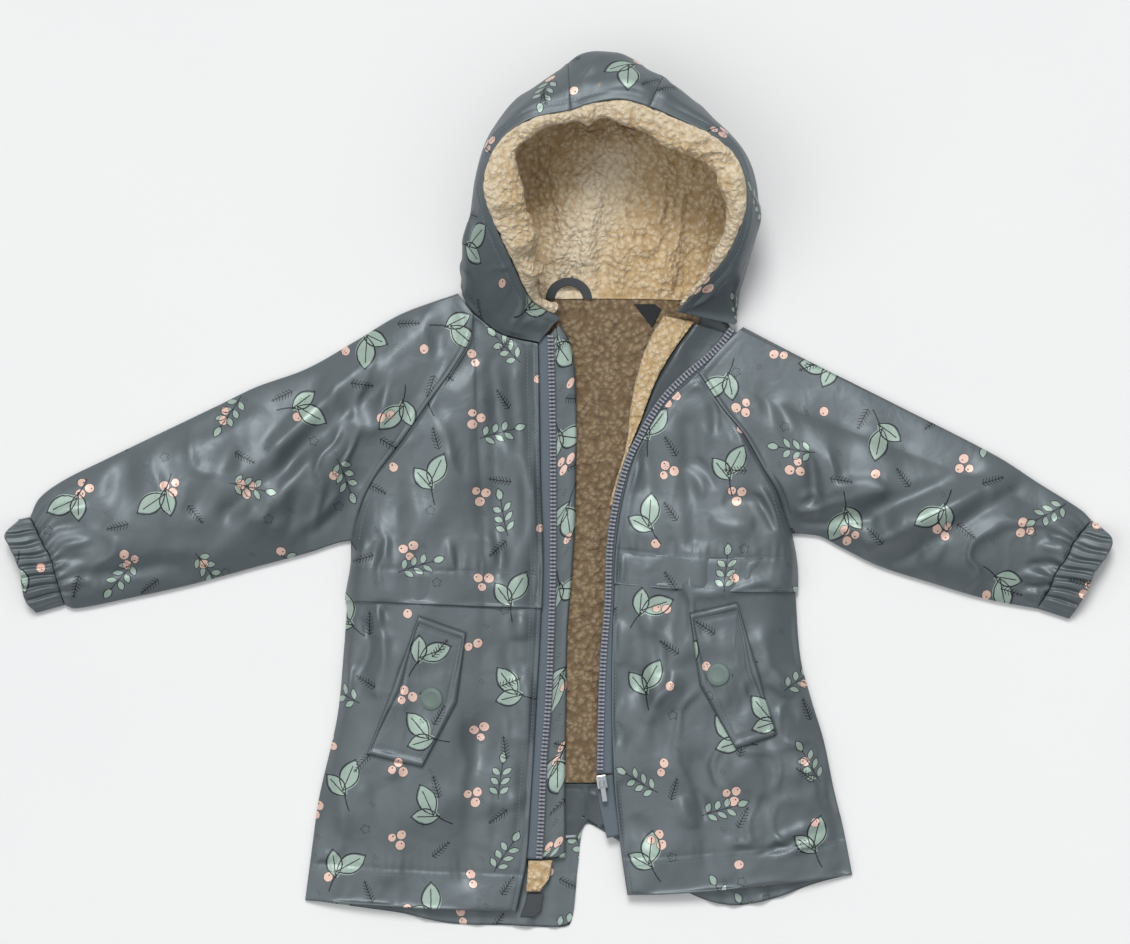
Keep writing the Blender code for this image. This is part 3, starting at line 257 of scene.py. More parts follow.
HEM_FACING = ((-24, -252), (56, -252), (62, -288), (36, -290.4), (24, -283.5), (14, -300), (-20, -300))
LABEL = ((64, 161.5), (82, 161.5), (88, 157), (80, 141), (70, 154))
LOOP_CENTRE = (8, 166)
LOOP_RADIUS = 16.0      # middle of the tape
ZIP_PATCH = ((-27, -318), (-6, -318), (-9, -334), (-17, -345), (-29, -345))
ZIP_PATCH_HEIGHT = 11.0
HEM_TAB = ((-27, -346.5), (-14, -347), (-16, -362), (-22, -367), (-34, -367))
HEM_TAB_HEIGHT = 6.7


# ---------------------------------------------------------------- curves and patches, on arrays
def ease(t):
    """A soft step from 0 to 1."""
    t = np.clip(t, 0.0, 1.0)
    return t * t * (3 - 2 * t)


def spaced(count, start=0.0, end=1.0):
    """Even places from start to end, with this many gaps."""
    return np.linspace(start, end, count + 1)


def between(points, slopes, marks, reach):
    """Cubic curve through points with these slopes; points may hold a row for each place asked."""
    i = np.clip(np.searchsorted(marks, reach, side="right") - 1, 0, len(marks) - 2)
    span = (marks[i + 1] - marks[i])[..., None]
    s = (reach - marks[i])[..., None] / span
    return (points(i) * (2 * s ** 3 - 3 * s ** 2 + 1) + points(i + 1) * (3 * s ** 2 - 2 * s ** 3)
            + slopes(i) * span * (s ** 3 - 2 * s ** 2 + s) + slopes(i + 1) * span * (s ** 3 - s ** 2))


def slopes_of(points, marks):
    """Slope at each row, from the rows beside it."""
    index = np.arange(len(points))
    before, after = np.maximum(index - 1, 0), np.minimum(index + 1, len(points) - 1)
    run = (marks[after] - marks[before]).reshape((-1,) + (1,) * (points.ndim - 1))
    return (points[after] - points[before]) / run


def smooth(rows, by_length=True):
    """A smooth curve through the rows, as a function of an array of 0 to 1."""
    points = np.array([tuple(row) + (0.0,) * (3 - len(row)) for row in rows], float)
    steps = np.linalg.norm(np.diff(points, axis=0), axis=1) if by_length else np.ones(len(points) - 1)
    marks = np.concatenate(([0.0], np.cumsum(steps)))
    slopes = slopes_of(points, marks)

    def at(t):
        reach = np.clip(np.asarray(t, float), 0, 1) * marks[-1]
        return between(lambda i: points[i], lambda i: slopes[i], marks, reach)

    return at


def joined(first, second, share):
    """Two curves end to end; the first takes this share of 0 to 1."""
    def at(t):
        t = np.asarray(t, float)
        return np.where((t < share)[..., None], first(t / share), second((t - share) / (1 - share)))

    return at


def patch(top, bottom, left, right):
    """A four-sided sheet between its edges; u runs along top and bottom, v from top to bottom."""
    def at(u, v):
        s, t = u[..., None], v[..., None]
        corners = (top(0) * (1 - s) + top(1) * s) * (1 - t) + (bottom(0) * (1 - s) + bottom(1) * s) * t
        return top(u) * (1 - t) + bottom(u) * t + left(v) * (1 - s) + right(v) * s - corners

    return at


def unit(vectors):
    """Vectors along the last axis, at length 1."""
    return vectors / np.linalg.norm(vectors, axis=-1, keepdims=True)


def normals_of(points):
    """Unit normals of a grid of points."""
    across, down = np.gradient(points, axis=1), np.gradient(points, axis=0)
    normal = np.cross(across, down)
    return normal / np.maximum(np.linalg.norm(normal, axis=-1, keepdims=True), 1e-9)


def arc(points, axis):
    """Length along one direction of a grid, from its first row or column."""
    steps = np.linalg.norm(np.diff(points, axis=axis), axis=-1)
    start = np.zeros_like(np.take(steps, [0], axis=axis))
    return np.concatenate((start, np.cumsum(steps, axis=axis)), axis=axis)


def samples(length, pitch, fine=(), start=0.0, end=1.0):
    """Places from start to end at about this pitch, with closer ones near the fine places (mm)."""
    places = list(spaced(max(int(length * (end - start) / pitch), 2), start, end))
    for centre, reach in fine:
        places += [(centre + step) / length for step in np.linspace(-reach, reach, 9)]
    places = sorted(p for p in places if start <= p <= end)
    kept = [places[0]]
    for place in places[1:]:
        if (place - kept[-1]) * length > 0.3:
            kept.append(place)
    kept[-1] = end
    return np.array(kept)


# ---------------------------------------------------------------- folds, creases and rumples
def relief(x, y):
    """Height of the large folds, as in the solids."""
    total = np.zeros_like(x)
    for fold in FOLDS:
        start, run = np.array((fold.x0, fold.y0)), np.array((fold.x1 - fold.x0, fold.y1 - fold.y0))
        along = np.clip(((x - start[0]) * run[0] + (y - start[1]) * run[1]) / (run @ run), 0, 1)
        away = (x - start[0] - along * run[0]) ** 2 + (y - start[1] - along * run[1]) ** 2
        total += fold.height * np.exp(-away / (2 * (0.6 * fold.width) ** 2))
    return total


# A crease runs from one place to the other, bowed sideways, and fades at both ends.
Crease = namedtuple("Crease", "x0 y0 x1 y1 width height bow")
CREASES = [Crease(*row) for row in (
    (-38, 104, -31, 33, 7, 1.6, -3),          # beside the left opening
    (-30, 30, -27, -51, 6, 1.8, 3),
    (-50, 104, -44, 30, 8, -1.8, -3),
    (-42, 28, -40, -50, 7, -1.6, 3),
    (-36, -104, -30, -128, 9, 2.2, 0),
    (-42, -126, -36, -162, 8, -1.8, -3),
    (-33, -148, -30, -208, 7, 1.9, 3),
    (-44, -176, -42, -226, 6, -1.2, 2),
    (-40, -230, -44, -300, 7, 1.2, 2),
    (-52, -250, -56, -310, 6, -1.1, 0),
    (-103, 70, -100, -30, 14, 1.4, 4),        # left yoke
    (-135, 40, -137, -40, 9, -1.6, -4),
    (-76, 80, -70, -40, 9, -1.2, 5),
    (-168, -38, -172, -64, 4, 1.2, 0),
    (-158, -42, -160, -66, 3.5, -1.2, 0),
    (-148, -38, -151, -68, 4, 1.1, 1),
    (-122, -46, -124, -68, 4, -0.9, 0),
    (-96, -40, -92, -68, 4, 1.0, 0),
    (-88, -44, -86, -68, 3.5, -1.0, 0),
    (-60, -36, -57, -66, 4, 1.2, 0),
    (-50, -44, -49, -68, 3, -1.2, 0),
    (-157, -97, -156, -118, 4, 2.2, 0),       # left front
    (-164, -99, -166, -126, 4, -1.5, 0),
    (-150, -98, -148, -125, 5, -1.4, 0),
    (-172, -108, -176, -160, 7, -1.8, 12),
    (-176, -150, -182, -178, 8, 1.6, 0),
    (-110, -250, -96, -300, 14, 1.2, 4),
    (-60, -180, -64, -240, 11, -1.2, 3),
    (-150, -255, -130, -310, 11, 1.2, -4),
    (-196, -240, -184, -300, 7, 1.2, 2),
    (-132, -232, -150, -246, 5, 1.2, 1),
    (66, 30, 64, 0, 8, 1.6, 2),               # right yoke
    (76, 40, 82, -10, 8, -1.4, -4),
    (108, 22, 124, -6, 5, 1.4, 2),
    (116, 30, 134, 2, 5, -1.3, 2),
    (128, -24, 168, -28, 9, 1.8, -3),
    (140, -8, 176, -12, 8, -1.6, 3),
    (172, 4, 190, -34, 4, 1.5, 2),
    (166, 0, 184, -34, 4, -1.3, 2),
    (60, -34, 64, -54, 4, 1.0, 0),
    (96, -38, 98, -56, 4, -0.9, 0),
    (150, -36, 152, -56, 4, 1.0, 0),
    (50, -110, 54, -150, 8, 1.7, 2),          # right front
    (92, -156, 98, -190, 12, 1.9, 3),
    (62, -150, 76, -196, 7, -1.4, 3),
    (100, -112, 104, -150, 10, 1.2, 0),
    (188, -150, 196, -178, 10, 2.3, 3),
    (174, -168, 206, -196, 7, -1.5, 2),
    (104, -262, 118, -290, 8, 1.9, -3),
    (116, -256, 126, -284, 5, -1.5, 2),
    (176, -306, 232, -284, 5, 1.5, 2),
    (168, -314, 214, -300, 4, -1.1, 1),
    (182, -318, 236, -298, 4, 1.1, 1),
    (60, -280, 84, -310, 8, -1.4, 3),
    (70, -200, 66, -250, 9, 1.4, -2),
    (140, -260, 170, -230, 12, 1.4, 4),
    (152, -282, 188, -258, 9, -1.4, 3),
    (212, -220, 230, -262, 7, 1.6, -3),
    (224, -236, 240, -276, 6, -1.2, -2),
    (-303, 12, -320, -22, 10, -2.0, 3),       # left sleeve
    (-342, -66, -306, -46, 10, 1.6, 3),
    (-394, -79, -354, -75, 3, 0.9, 2),
    (-270, 60, -300, 10, 9, -1.4, 4),
    (-206, 60, -250, -10, 8, -1.6, -4),
    (-215, 30, -262, -30, 7, 1.4, 3),
    (-190, 0, -216, -30, 5, 1.6, 2),
    (-188, -16, -224, -40, 5, -1.4, 2),
    (-120, 150, -104, 116, 9, -1.8, 3),
    (-134, 128, -160, 84, 8, 1.4, -3),
    (-430, 2, -404, 4, 4, 1.4, 1),
    (-438, -18, -406, -14, 4, 1.7, 1),
    (-437, -31, -406, -28, 4, -1.5, 1),
    (-435, -46, -402, -42, 4, 1.6, -1),
    (-433, -61, -404, -57, 4, -1.5, 1),
    (-430, -80, -402, -77, 4, 1.5, 0),
    (374, 14, 300, -30, 9, 1.6, 3),           # right sleeve
    (330, 0, 268, -50, 10, 1.5, -3),
    (224, -4, 276, 9, 7, 2.4, 2),
    (228, -24, 340, 14, 8, -2.6, -6),
    (214, 34, 218, -14, 6, -3.0, 2),
    (205, -8, 222, 0, 3, 1.5, 1),
    (204, -18, 224, -16, 3, 1.3, 0),
    (206, -26, 238, -30, 3, -1.3, 0),
    (180, 90, 204, 40, 9, 1.4, 3),
    (168, 96, 190, 40, 7, -1.3, 3),
    (412, -46, 438, -57, 4, 2.0, 2),
    (394, -72, 425, -78, 5, 2.2, 2),
    (398, -87, 420, -89, 3.5, 1.8, 0),
    (402, -62, 432, -67, 4, -1.9, 1),
    (400, -80, 421, -83, 3, -1.6, 0),
    (424, -22, 450, -28, 4, 1.5, 1),
    (418, -36, 444, -44, 4, -1.5, 1),
)]


def creases(x, y):
    """Height of the creases at each place."""
    total = np.zeros_like(x)
    for crease in CREASES:
        run = np.array((crease.x1 - crease.x0, crease.y1 - crease.y0))
        reach = math.hypot(*run)
        side = np.array((-run[1], run[0])) / reach
        along = np.clip(((x - crease.x0) * run[0] + (y - crease.y0) * run[1]) / reach ** 2, 0, 1)
        away = (x - crease.x0) * side[0] + (y - crease.y0) * side[1] - crease.bow * 4 * along * (1 - along)
        spread = 0.62 * crease.width * (0.7 + 0.5 * np.sin(np.pi * along))
        total += crease.height * np.sin(np.pi * along) ** 0.7 * np.exp(-away ** 2 / (2 * spread ** 2))
    return total


def lattice(i, j, seed):
    """A chance number for each cell."""
    value = np.sin(i * 127.1 + j * 311.7 + seed * 74.7) * 43758.5453
    return value - np.floor(value)


def value_noise(x, y, seed):
    """Smooth noise from 0 to 1 with a wave of about 2."""
    i, j = np.floor(x), np.floor(y)
    s, t = x - i, y - j
    s, t = s * s * s * (s * (6 * s - 15) + 10), t * t * t * (t * (6 * t - 15) + 10)
    low = lattice(i, j, seed) * (1 - s) + lattice(i + 1, j, seed) * s
    high = lattice(i, j + 1, seed) * (1 - s) + lattice(i + 1, j + 1, seed) * s
    return low * (1 - t) + high * t


def rumple(x, y, seed, size=1.0):
    """Small uneven creases of coated cloth: bent ridges over soft waves."""
    bend = 22 * value_noise(x / 70, y / 70, seed) + 8 * value_noise(x / 24, y / 24, seed + 1)
    soft = value_noise((x + bend) / 26, (y - bend) / 46, seed + 2) - 0.5
    ridge = np.exp(-((2 * value_noise((x + 2 * bend) / 27, (y + bend) / 44, seed + 3) - 1) / 0.34) ** 2)
    fine = np.exp(-((2 * value_noise((x - bend) / 12, (y + 1.5 * bend) / 20, seed + 4) - 1) / 0.4) ** 2)
    where = ease(1.6 * value_noise(x / 55, y / 55, seed + 5) - 0.3)
    return size * (4.2 * soft + 2.2 * ridge * where + 0.4 * fine * where - 0.8)


def roll(distance, radius):
    """How far cloth drops towards a rolled edge."""
    inside = np.clip(radius - distance, 0, radius)
    return radius - np.sqrt(radius ** 2 - inside ** 2)


def groove(distance, width=1.4, depth=0.55):
    """The dip that a row of stitches pulls into cloth."""
    return -depth * np.exp(-(distance / width) ** 2)


# ---------------------------------------------------------------- making pieces
def link(name, mesh, look):
    """A smooth-shaded object from a mesh, with its material."""
    made = bpy.data.objects.new(name, mesh)
    bpy.context.scene.collection.objects.link(made)
    mesh.materials.append(look)
    mesh.shade_smooth()
    return made


def dress(piece, slot, *nodes, body="coat"):
    """Let a piece ride on its body, and stand for the solids that it covers."""
    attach(piece, body)
    if nodes:
        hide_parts(*nodes)
    return piece


def closed_ring(points):
    """A grid with its first column again at the end."""
    return np.concatenate((points, points[:, :1]), axis=1)


def grid(name, points, plan, look, core=None, inward=False, closed=False, marks=None, painted_light=None):
    """A surface through a grid of points (mm); plan holds the place of each on the cut cloth (mm)."""
    points = np.asarray(points, float) - ORIGIN
    if closed:
        points = closed_ring(points)
    normal = np.cross(points[1:, :-1] - points[:-1, :-1], points[:-1, 1:] - points[:-1, :-1])
    view = UP if core is None else points[:-1, :-1] - (np.asarray(core) - ORIGIN)
    if (np.sum(normal * view) < 0) != inward:
        points, plan = points[:, ::-1], plan[:, ::-1]
        marks = None if marks is None else marks[:, ::-1]
        painted_light = None if painted_light is None else painted_light[:, ::-1]
    rows, columns = points.shape[:2]
    index = np.arange(rows * columns).reshape(rows, columns)
    faces = np.stack((index[:-1, :-1], index[1:, :-1], index[1:, 1:], index[:-1, 1:]), -1).reshape(-1, 4)
    mesh = bpy.data.meshes.new(name)
    mesh.from_pydata((points.reshape(-1, 3) * MM).tolist(), [], faces.tolist())
    layer = mesh.uv_layers.new(name="cut")
    layer.data.foreach_set("uv", (plan.reshape(-1, 2)[faces.reshape(-1)] * MM).astype(np.float32).ravel())
    # Point attributes: the pile's curl height, and the painted highlight on the hood lining
    for title, values in (("depth", marks), ("painted_light", painted_light)):
        if values is not None:
            mesh.attributes.new(title, "FLOAT", "POINT").data.foreach_set(
                "value", values.astype(np.float32).ravel())
    if closed:
        joint = bmesh.new()
        joint.from_mesh(mesh)
        bmesh.ops.remove_doubles(joint, verts=joint.verts, dist=1e-6)
        joint.to_mesh(mesh)
        joint.free()
    return link(name, mesh, look)


def lay(piece, points, held, *rests_on, ease_in=1.0):
    """Lengths across and along a grid of points (mm); they are measured and not used further."""
    across, along = arc(points, 1)[:, -1], arc(points, 0)[-1]


def thicken(piece, thickness=SHELL):
    """Give a sheet its wall, inwards."""
    wall = piece.modifiers.new("wall", "SOLIDIFY")
    wall.thickness = thickness * MM
    wall.offset = -1.0
    return piece


def sewn(name, points, plan, look, slot, node, *rests_on, held="laid", ease_in=1.0, wall=SHELL, **shape):
    """A walled and dressed sheet of cloth through a grid of points (mm)."""
    piece = thicken(grid(name, points, plan, look, **shape), wall)
    dress(piece, slot, node)
    lay(piece, closed_ring(points) if shape.get("closed") else points, held, *rests_on, ease_in=ease_in)
    return piece


def merged(name, parts, look):
    """One mesh from many lists of (points, faces)."""
    points, faces, start = [], [], 0
    for some_points, some_faces in parts:
        points.append(np.asarray(some_points, float) - ORIGIN)
        faces += [tuple(start + k for k in face) for face in some_faces]
        start += len(some_points)
    mesh = bpy.data.meshes.new(name)
    mesh.from_pydata((np.concatenate(points) * MM).tolist(), [], faces)
    return link(name, mesh, look)


def sweep(stations):
    """Points and faces of a bar through rings of equal point counts."""
    stations = np.asarray(stations, float)
    count, width = stations.shape[:2]
    faces = []
    for i in range(count - 1):
        for j in range(width):
            k = (j + 1) % width
            faces.append((i * width + j, i * width + k, (i + 1) * width + k, (i + 1) * width + j))
    faces.append(tuple(reversed(range(width))))
    faces.append(tuple((count - 1) * width + j for j in range(width)))
    return stations.reshape(-1, 3), faces


def surface_of(*pieces):
    """The pieces' outer faces as a tree, to lay stitches and flaps on."""
    points, faces = [], []
    for piece in pieces:
        start = len(points)
        points += [vert.co.copy() for vert in piece.data.vertices]
        faces += [tuple(start + k for k in face.vertices) for face in piece.data.polygons]
    return BVHTree.FromPolygons(points, faces)


def drop(tree, x, y):
    """Place and normal (mm, table places) where a plumb line meets the cloth, or None."""
    above = Vector(((x - ORIGIN[0]) * MM, (y - ORIGIN[1]) * MM, 0.3))
    hit, normal, _, _ = tree.ray_cast(above, Vector((0, 0, -1)))
    if hit is None:
        return None
    return np.array(hit) / MM + ORIGIN, np.array(normal if normal.z > 0 else -normal)


STITCH_LENGTH = 2.3
STITCH_PITCH = 3.2
STITCH_RADIUS = 0.26
STITCH_RINGS = ((-0.5, -0.25, 0.5), (-0.3, 0.18, 1), (0.3, 0.18, 1), (0.5, -0.25, 0.5))  # along, up, size
STITCH_ANGLES = (0.52, 1.57, 2.62, 3.67, 4.71, 5.76)
STITCH_STEEPEST = 1.6       # mm up or down in one stitch; steeper ones would hang between two folds


def stitch(place, run, normal):
    """One stitch: a short bar that dives into the cloth at both ends."""
    side = np.cross(normal, run)
    rings = []
    for along, rise, size in STITCH_RINGS:
        centre = place + run * (along * STITCH_LENGTH) + normal * rise
        rings.append([centre + (side * math.cos(a) + normal * math.sin(a)) * STITCH_RADIUS * size
                      for a in STITCH_ANGLES])
    return sweep(rings)


def place_at(distance, reach, line):
    """Place (x, y) at a distance along a line of points, whose own distances are reach."""
    return np.stack([np.interp(distance, reach, line[:, axis]) for axis in (0, 1)], -1)


def seam_line(rows, tree):
    """Stitches along a line over the cloth; rows are x and y."""
    fine = smooth(rows)(spaced(400))[:, :2]
    reach = arc(fine, 0)
    parts = []
    for start in np.arange(STITCH_PITCH / 2, reach[-1], STITCH_PITCH):
        hits = [drop(tree, *place_at(start + step, reach, fine)) for step in (-1, 1)]
        if None in hits:
            continue
        run = hits[1][0] - hits[0][0]
        if abs(run[2]) > STITCH_STEEPEST:
            continue
        parts.append(stitch((hits[0][0] + hits[1][0]) / 2, run / np.linalg.norm(run), hits[0][1]))
    return parts


def beside(rows, distance):
    """A line moved sideways, to its left for a positive distance (mm)."""
    points = np.array([row[:2] for row in rows], float)
    run = unit(np.gradient(points, axis=0))
    return [tuple(row) for row in points + np.stack((-run[:, 1], run[:, 0]), 1) * distance]


# ---------------------------------------------------------------- materials
def colour(hex_code):
    """A hex code as linear values."""
    values = [int(hex_code[i:i + 2], 16) / 255 for i in (0, 2, 4)]
    return tuple(v / 12.92 if v <= 0.04045 else ((v + 0.055) / 1.055) ** 2.4 for v in values) + (1.0,)


class Field:
    """A number that varies over a surface, built from shader nodes with plain arithmetic."""

    def __init__(self, tree, socket):
        self.tree, self.socket = tree, socket

    def math(self, operation, *others):
        node = self.tree.nodes.new("ShaderNodeMath")
        node.operation = operation
        for entry, value in zip(node.inputs, (self,) + others):
            if isinstance(value, Field):
                self.tree.links.new(value.socket, entry)
            else:
                entry.default_value = value
        return Field(self.tree, node.outputs[0])


for operator, operation in (
        ("__add__", "ADD"), ("__sub__", "SUBTRACT"), ("__mul__", "MULTIPLY"), ("__truediv__", "DIVIDE"),
        ("__abs__", "ABSOLUTE"), ("floor", "FLOOR"), ("sin", "SINE"), ("cos", "COSINE"), ("root", "SQRT"),
        ("low", "MINIMUM"), ("high", "MAXIMUM"), ("below", "LESS_THAN"), ("above", "GREATER_THAN")):
    setattr(Field, operator, partialmethod(Field.math, operation))


def highest(fields):
    """The greatest of some fields."""
    return reduce(Field.high, fields)


def axes(tree, place):
    """The coordinates of a place as fields."""
    node = tree.nodes.new("ShaderNodeSeparateXYZ")
    tree.links.new(place, node.inputs[0])
    return [Field(tree, socket) for socket in node.outputs]


def attribute(tree, name):
    """A number stored with each point of the mesh."""
    node = tree.nodes.new("ShaderNodeAttribute")
    node.attribute_name = name
    return Field(tree, node.outputs["Fac"])


def new_look(name, hex_code, roughness, metallic=0.0):
    """A material and its shader."""
    look = bpy.data.materials.new(name)
    look.use_nodes = True
    shader = look.node_tree.nodes["Principled BSDF"]
    shader.inputs["Base Color"].default_value = colour(hex_code)
    shader.inputs["Roughness"].default_value = roughness
    shader.inputs["Metallic"].default_value = metallic
    return look, shader


def cut_place(tree):
    """Place on the cut cloth, in metres."""
    node = tree.nodes.new("ShaderNodeUVMap")
    node.uv_map = "cut"
    return node.outputs[0]


def object_place(tree):
    """Place on the object itself, in metres."""
    return tree.nodes.new("ShaderNodeTexCoord").outputs["Object"]


def noise_node(tree, place, scale, detail=3.0, roughness=0.5, distortion=0.0):
    """Noise of this many waves a metre, as a socket."""
    node = tree.nodes.new("ShaderNodeTexNoise")
    node.inputs["Scale"].default_value = scale
    node.inputs["Detail"].default_value = detail
    node.inputs["Roughness"].default_value = roughness
    node.inputs["Distortion"].default_value = distortion
    tree.links.new(place, node.inputs["Vector"])
    return node.outputs[0]


def bump(tree, shader, height, distance, strength=1.0, below=None):
    """Raise a surface by a height socket; distance in mm."""
    node = tree.nodes.new("ShaderNodeBump")
    node.inputs["Strength"].default_value = strength
    node.inputs["Distance"].default_value = distance * MM
    tree.links.new(height, node.inputs["Height"])
    if below is not None:
        tree.links.new(below, node.inputs["Normal"])
    tree.links.new(node.outputs[0], shader.inputs["Normal"])
    return node.outputs[0]


def blend_colours(tree, share, first, second):
    """Mix two colours, each a hex code or a socket; the share is a socket or a number."""
    node = tree.nodes.new("ShaderNodeMix")
    node.data_type = "RGBA"
    for entry, value in ((0, share), (6, first), (7, second)):
        if isinstance(value, str):
            node.inputs[entry].default_value = colour(value)
        elif isinstance(value, float):
            node.inputs[entry].default_value = value
        else:
            tree.links.new(value, node.inputs[entry])
    return node.outputs[2]


# ---------------------------------------------------------------- the print: leaves, berries, twigs, stars
MOTIF_CELL = 73.0       # mm from one large motif to the next
INK = 0.42              # half width of a drawn line, mm


def cell_of(tree, x, y, size, shift, seed):
    """Local place in a staggered cell, and three chance numbers for it."""
    column = (x / size + shift[0]).floor()
    across = x / size + shift[0] - column
    tall = y / size + column * 0.43 + shift[1]
    row = tall.floor()
    place = tree.nodes.new("ShaderNodeCombineXYZ")
    tree.links.new(column.socket, place.inputs[0])
    tree.links.new(row.socket, place.inputs[1])
    place.inputs[2].default_value = seed
    chance = tree.nodes.new("ShaderNodeTexWhiteNoise")
    tree.links.new(place.outputs[0], chance.inputs["Vector"])
    split = tree.nodes.new("ShaderNodeSeparateColor")
    tree.links.new(chance.outputs["Color"], split.inputs[0])
    numbers = [Field(tree, socket) for socket in split.outputs[:3]]
    room = size * 0.2
    lx = (across - 0.5) * size + (numbers[0] - 0.5) * room
    ly = (tall - row - 0.5) * size + (numbers[1] - 0.5) * room
    return lx, ly, numbers


def turned(x, y, angle):
    """Coordinates in a frame turned by an angle, a number or a field."""
    if isinstance(angle, Field):
        c, s = angle.cos(), angle.sin()
        return x * c + y * s, y * c - x * s
    return x * math.cos(angle) + y * math.sin(angle), y * math.cos(angle) - x * math.sin(angle)


def leaf(x, y, length, width):
    """Distance, about, to a pointed leaf along y from 0 to length; below 0 inside."""
    t = (y / length - 0.5) * 2
    curve = abs(t * t * -1 + 1) * width
    outside = abs(t) - 1
    return (abs(x) - curve).high(outside * (length / 2))


def stroke(distance, width=INK):
    """1 on a drawn line, 0 off it."""
    return abs(distance).below(width)


def inside(distance):
    """1 inside a shape, 0 outside."""
    return distance.below(0.0)


def along_only(field, y, low, high):
    """The field where y lies between two numbers."""
    return field * (y - low).above(0.0) * (y - high).below(0.0)


def leaf_pair(x, y):
    """Two broad leaves on a bent stem: fill and ink."""
    fill, ink = [], []
    for angle, ox, oy, length, width in ((0.42, -1.0, -3.0, 19.0, 5.4), (-0.75, 0.5, -6.0, 16.0, 4.6)):
        lx, ly = turned(x - ox, y - oy, -angle)
        shape = leaf(lx, ly, length, width)
        fill.append(inside(leaf(lx - 0.7, ly + 0.5, length, width)))
        vein = along_only(stroke(lx, 0.3), ly, -0.5, length * 0.8)
        ink.append(stroke(shape).high(vein))
    bent = x - y * y * 0.012 + 0.4
    ink.append(along_only(stroke(bent, 0.38), y, -15.0, -4.0))
    return highest(fill), highest(ink)


def leaf_spray(x, y):
    """A stem with small leaves on both sides and one at its tip."""
    bend = x - (y * 0.09).sin() * 2.0
    step = (y / 6.6).floor()
    local = y - step * 6.6
    lx, ly = turned(abs(bend), local, -0.95)
    shape = leaf(lx - 0.2, ly - 0.6, 7.6, 2.1)
    whole = along_only(inside(shape), y, -13.2, 6.6)
    lines = along_only(stroke(shape, 0.3), y, -13.2, 6.6)
    tip = leaf(bend, y - 7.5, 8.6, 2.5)
    stem = along_only(stroke(bend, 0.3), y, -17.0, 9.0)
    return whole.high(inside(tip)), lines.high(stroke(tip, 0.36)).high(stem)


def twig(x, y):
    """A small dark sprig: a stem with slanting needles that get shorter."""
    step = (y / 2.2).floor()
    local = y - step * 2.2
    slant = abs(x) * 0.75 - local + 0.2
    reach = y * -0.26 + 3.4
    needles = stroke(slant, 0.34) * (abs(x) - reach).below(0.0)
    return along_only(needles.high(stroke(x, 0.36)), y, -6.6, 8.8)


def star(x, y, size):
    """A small five-pointed star, drawn as a line."""
    radius = (x * x + y * y).root()
    angle = x.math("ARCTAN2", y)
    spokes = abs((angle * 2.5).cos())
    return stroke(radius - (spokes * 0.5 + 0.55) * size, 0.3)


def berries(x, y, chance):
    """One to three round berries, each with a small dark crown."""
    fill, ink = [], []
    spots = ((0.0, 3.6, 3.5, 0.0), (-4.4, -2.6, 3.1, 0.3), (4.2, -3.4, 3.7, 0.6))
    for bx, by, radius, least in spots:
        across, up, higher = x - bx, y - by, y - by - radius * 0.45
        away = (across * across + up * up * 0.86).root() - radius
        there = chance.above(least) if least else 1.0
        crown = inside((across * across + higher * higher).root() - 0.55)
        fill.append(inside(away) * there)
        ink.append(crown.high(stroke(away, 0.16)) * there)
    return highest(fill), highest(ink)


def printed(tree, ground):
    """The cloth's ground colour with the print on it, as a colour socket."""
    x, y, _ = axes(tree, cut_place(tree))
    wobble = Field(tree, noise_node(tree, cut_place(tree), 260.0, 1.0)) - 0.5
    x = x * 1000 + wobble * 0.9
    y = y * 1000 + wobble * 0.7
    lx, ly, chance = cell_of(tree, x, y, MOTIF_CELL, (0.1, 0.2), 3.0)
    lx, ly = turned(lx, ly, (chance[2] - 0.5) * 2.4)
    pair, pair_ink = leaf_pair(lx / 1.5, ly / 1.5)
    spray, spray_ink = leaf_spray(lx / 1.25, ly / 1.25)
    which = chance[0].below(0.55)
    other = which * -1 + 1
    sage = pair * which + spray * other
    ink = pair_ink * which + spray_ink * other
    lx, ly, chance = cell_of(tree, x, y, MOTIF_CELL * 0.88, (0.62, 0.05), 11.0)
    lx, ly = turned(lx, ly, (chance[1] - 0.5) * 3.0)
    peach, berry_ink = berries(lx / 1.12, ly / 1.12, chance[2])
    lx, ly, chance = cell_of(tree, x, y, MOTIF_CELL * 0.8, (0.3, 0.68), 19.0)
    lx, ly = turned(lx, ly, (chance[0] - 0.5) * 5.0)
    needle = chance[2].below(0.6)
    dark = twig(lx / 1.3, ly / 1.3) * needle + star(lx, ly, 3.8) * (needle * -1 + 1)
    lx, ly, chance = cell_of(tree, x, y, MOTIF_CELL * 0.66, (0.85, 0.4), 29.0)
    specks = (lx * 2.3).sin() * (ly * 2.3).sin() * -1 + 0.62
    dots = inside(((lx * lx + ly * ly).root() - 2.6).high(specks))
    mottle = noise_node(tree, cut_place(tree), 420.0, 3.0, 0.7)
    green = blend_colours(tree, mottle, "90a69b", "b0c1b6")
    shown = blend_colours(tree, sage.socket, ground, green)
    blush = blend_colours(tree, mottle, "e0b8a8", "edd0c3")
    shown = blend_colours(tree, peach.socket, shown, blush)
    drawn = ink.high(berry_ink).high(dark).high(dots)
    return blend_colours(tree, drawn.socket, shown, "1f2428")


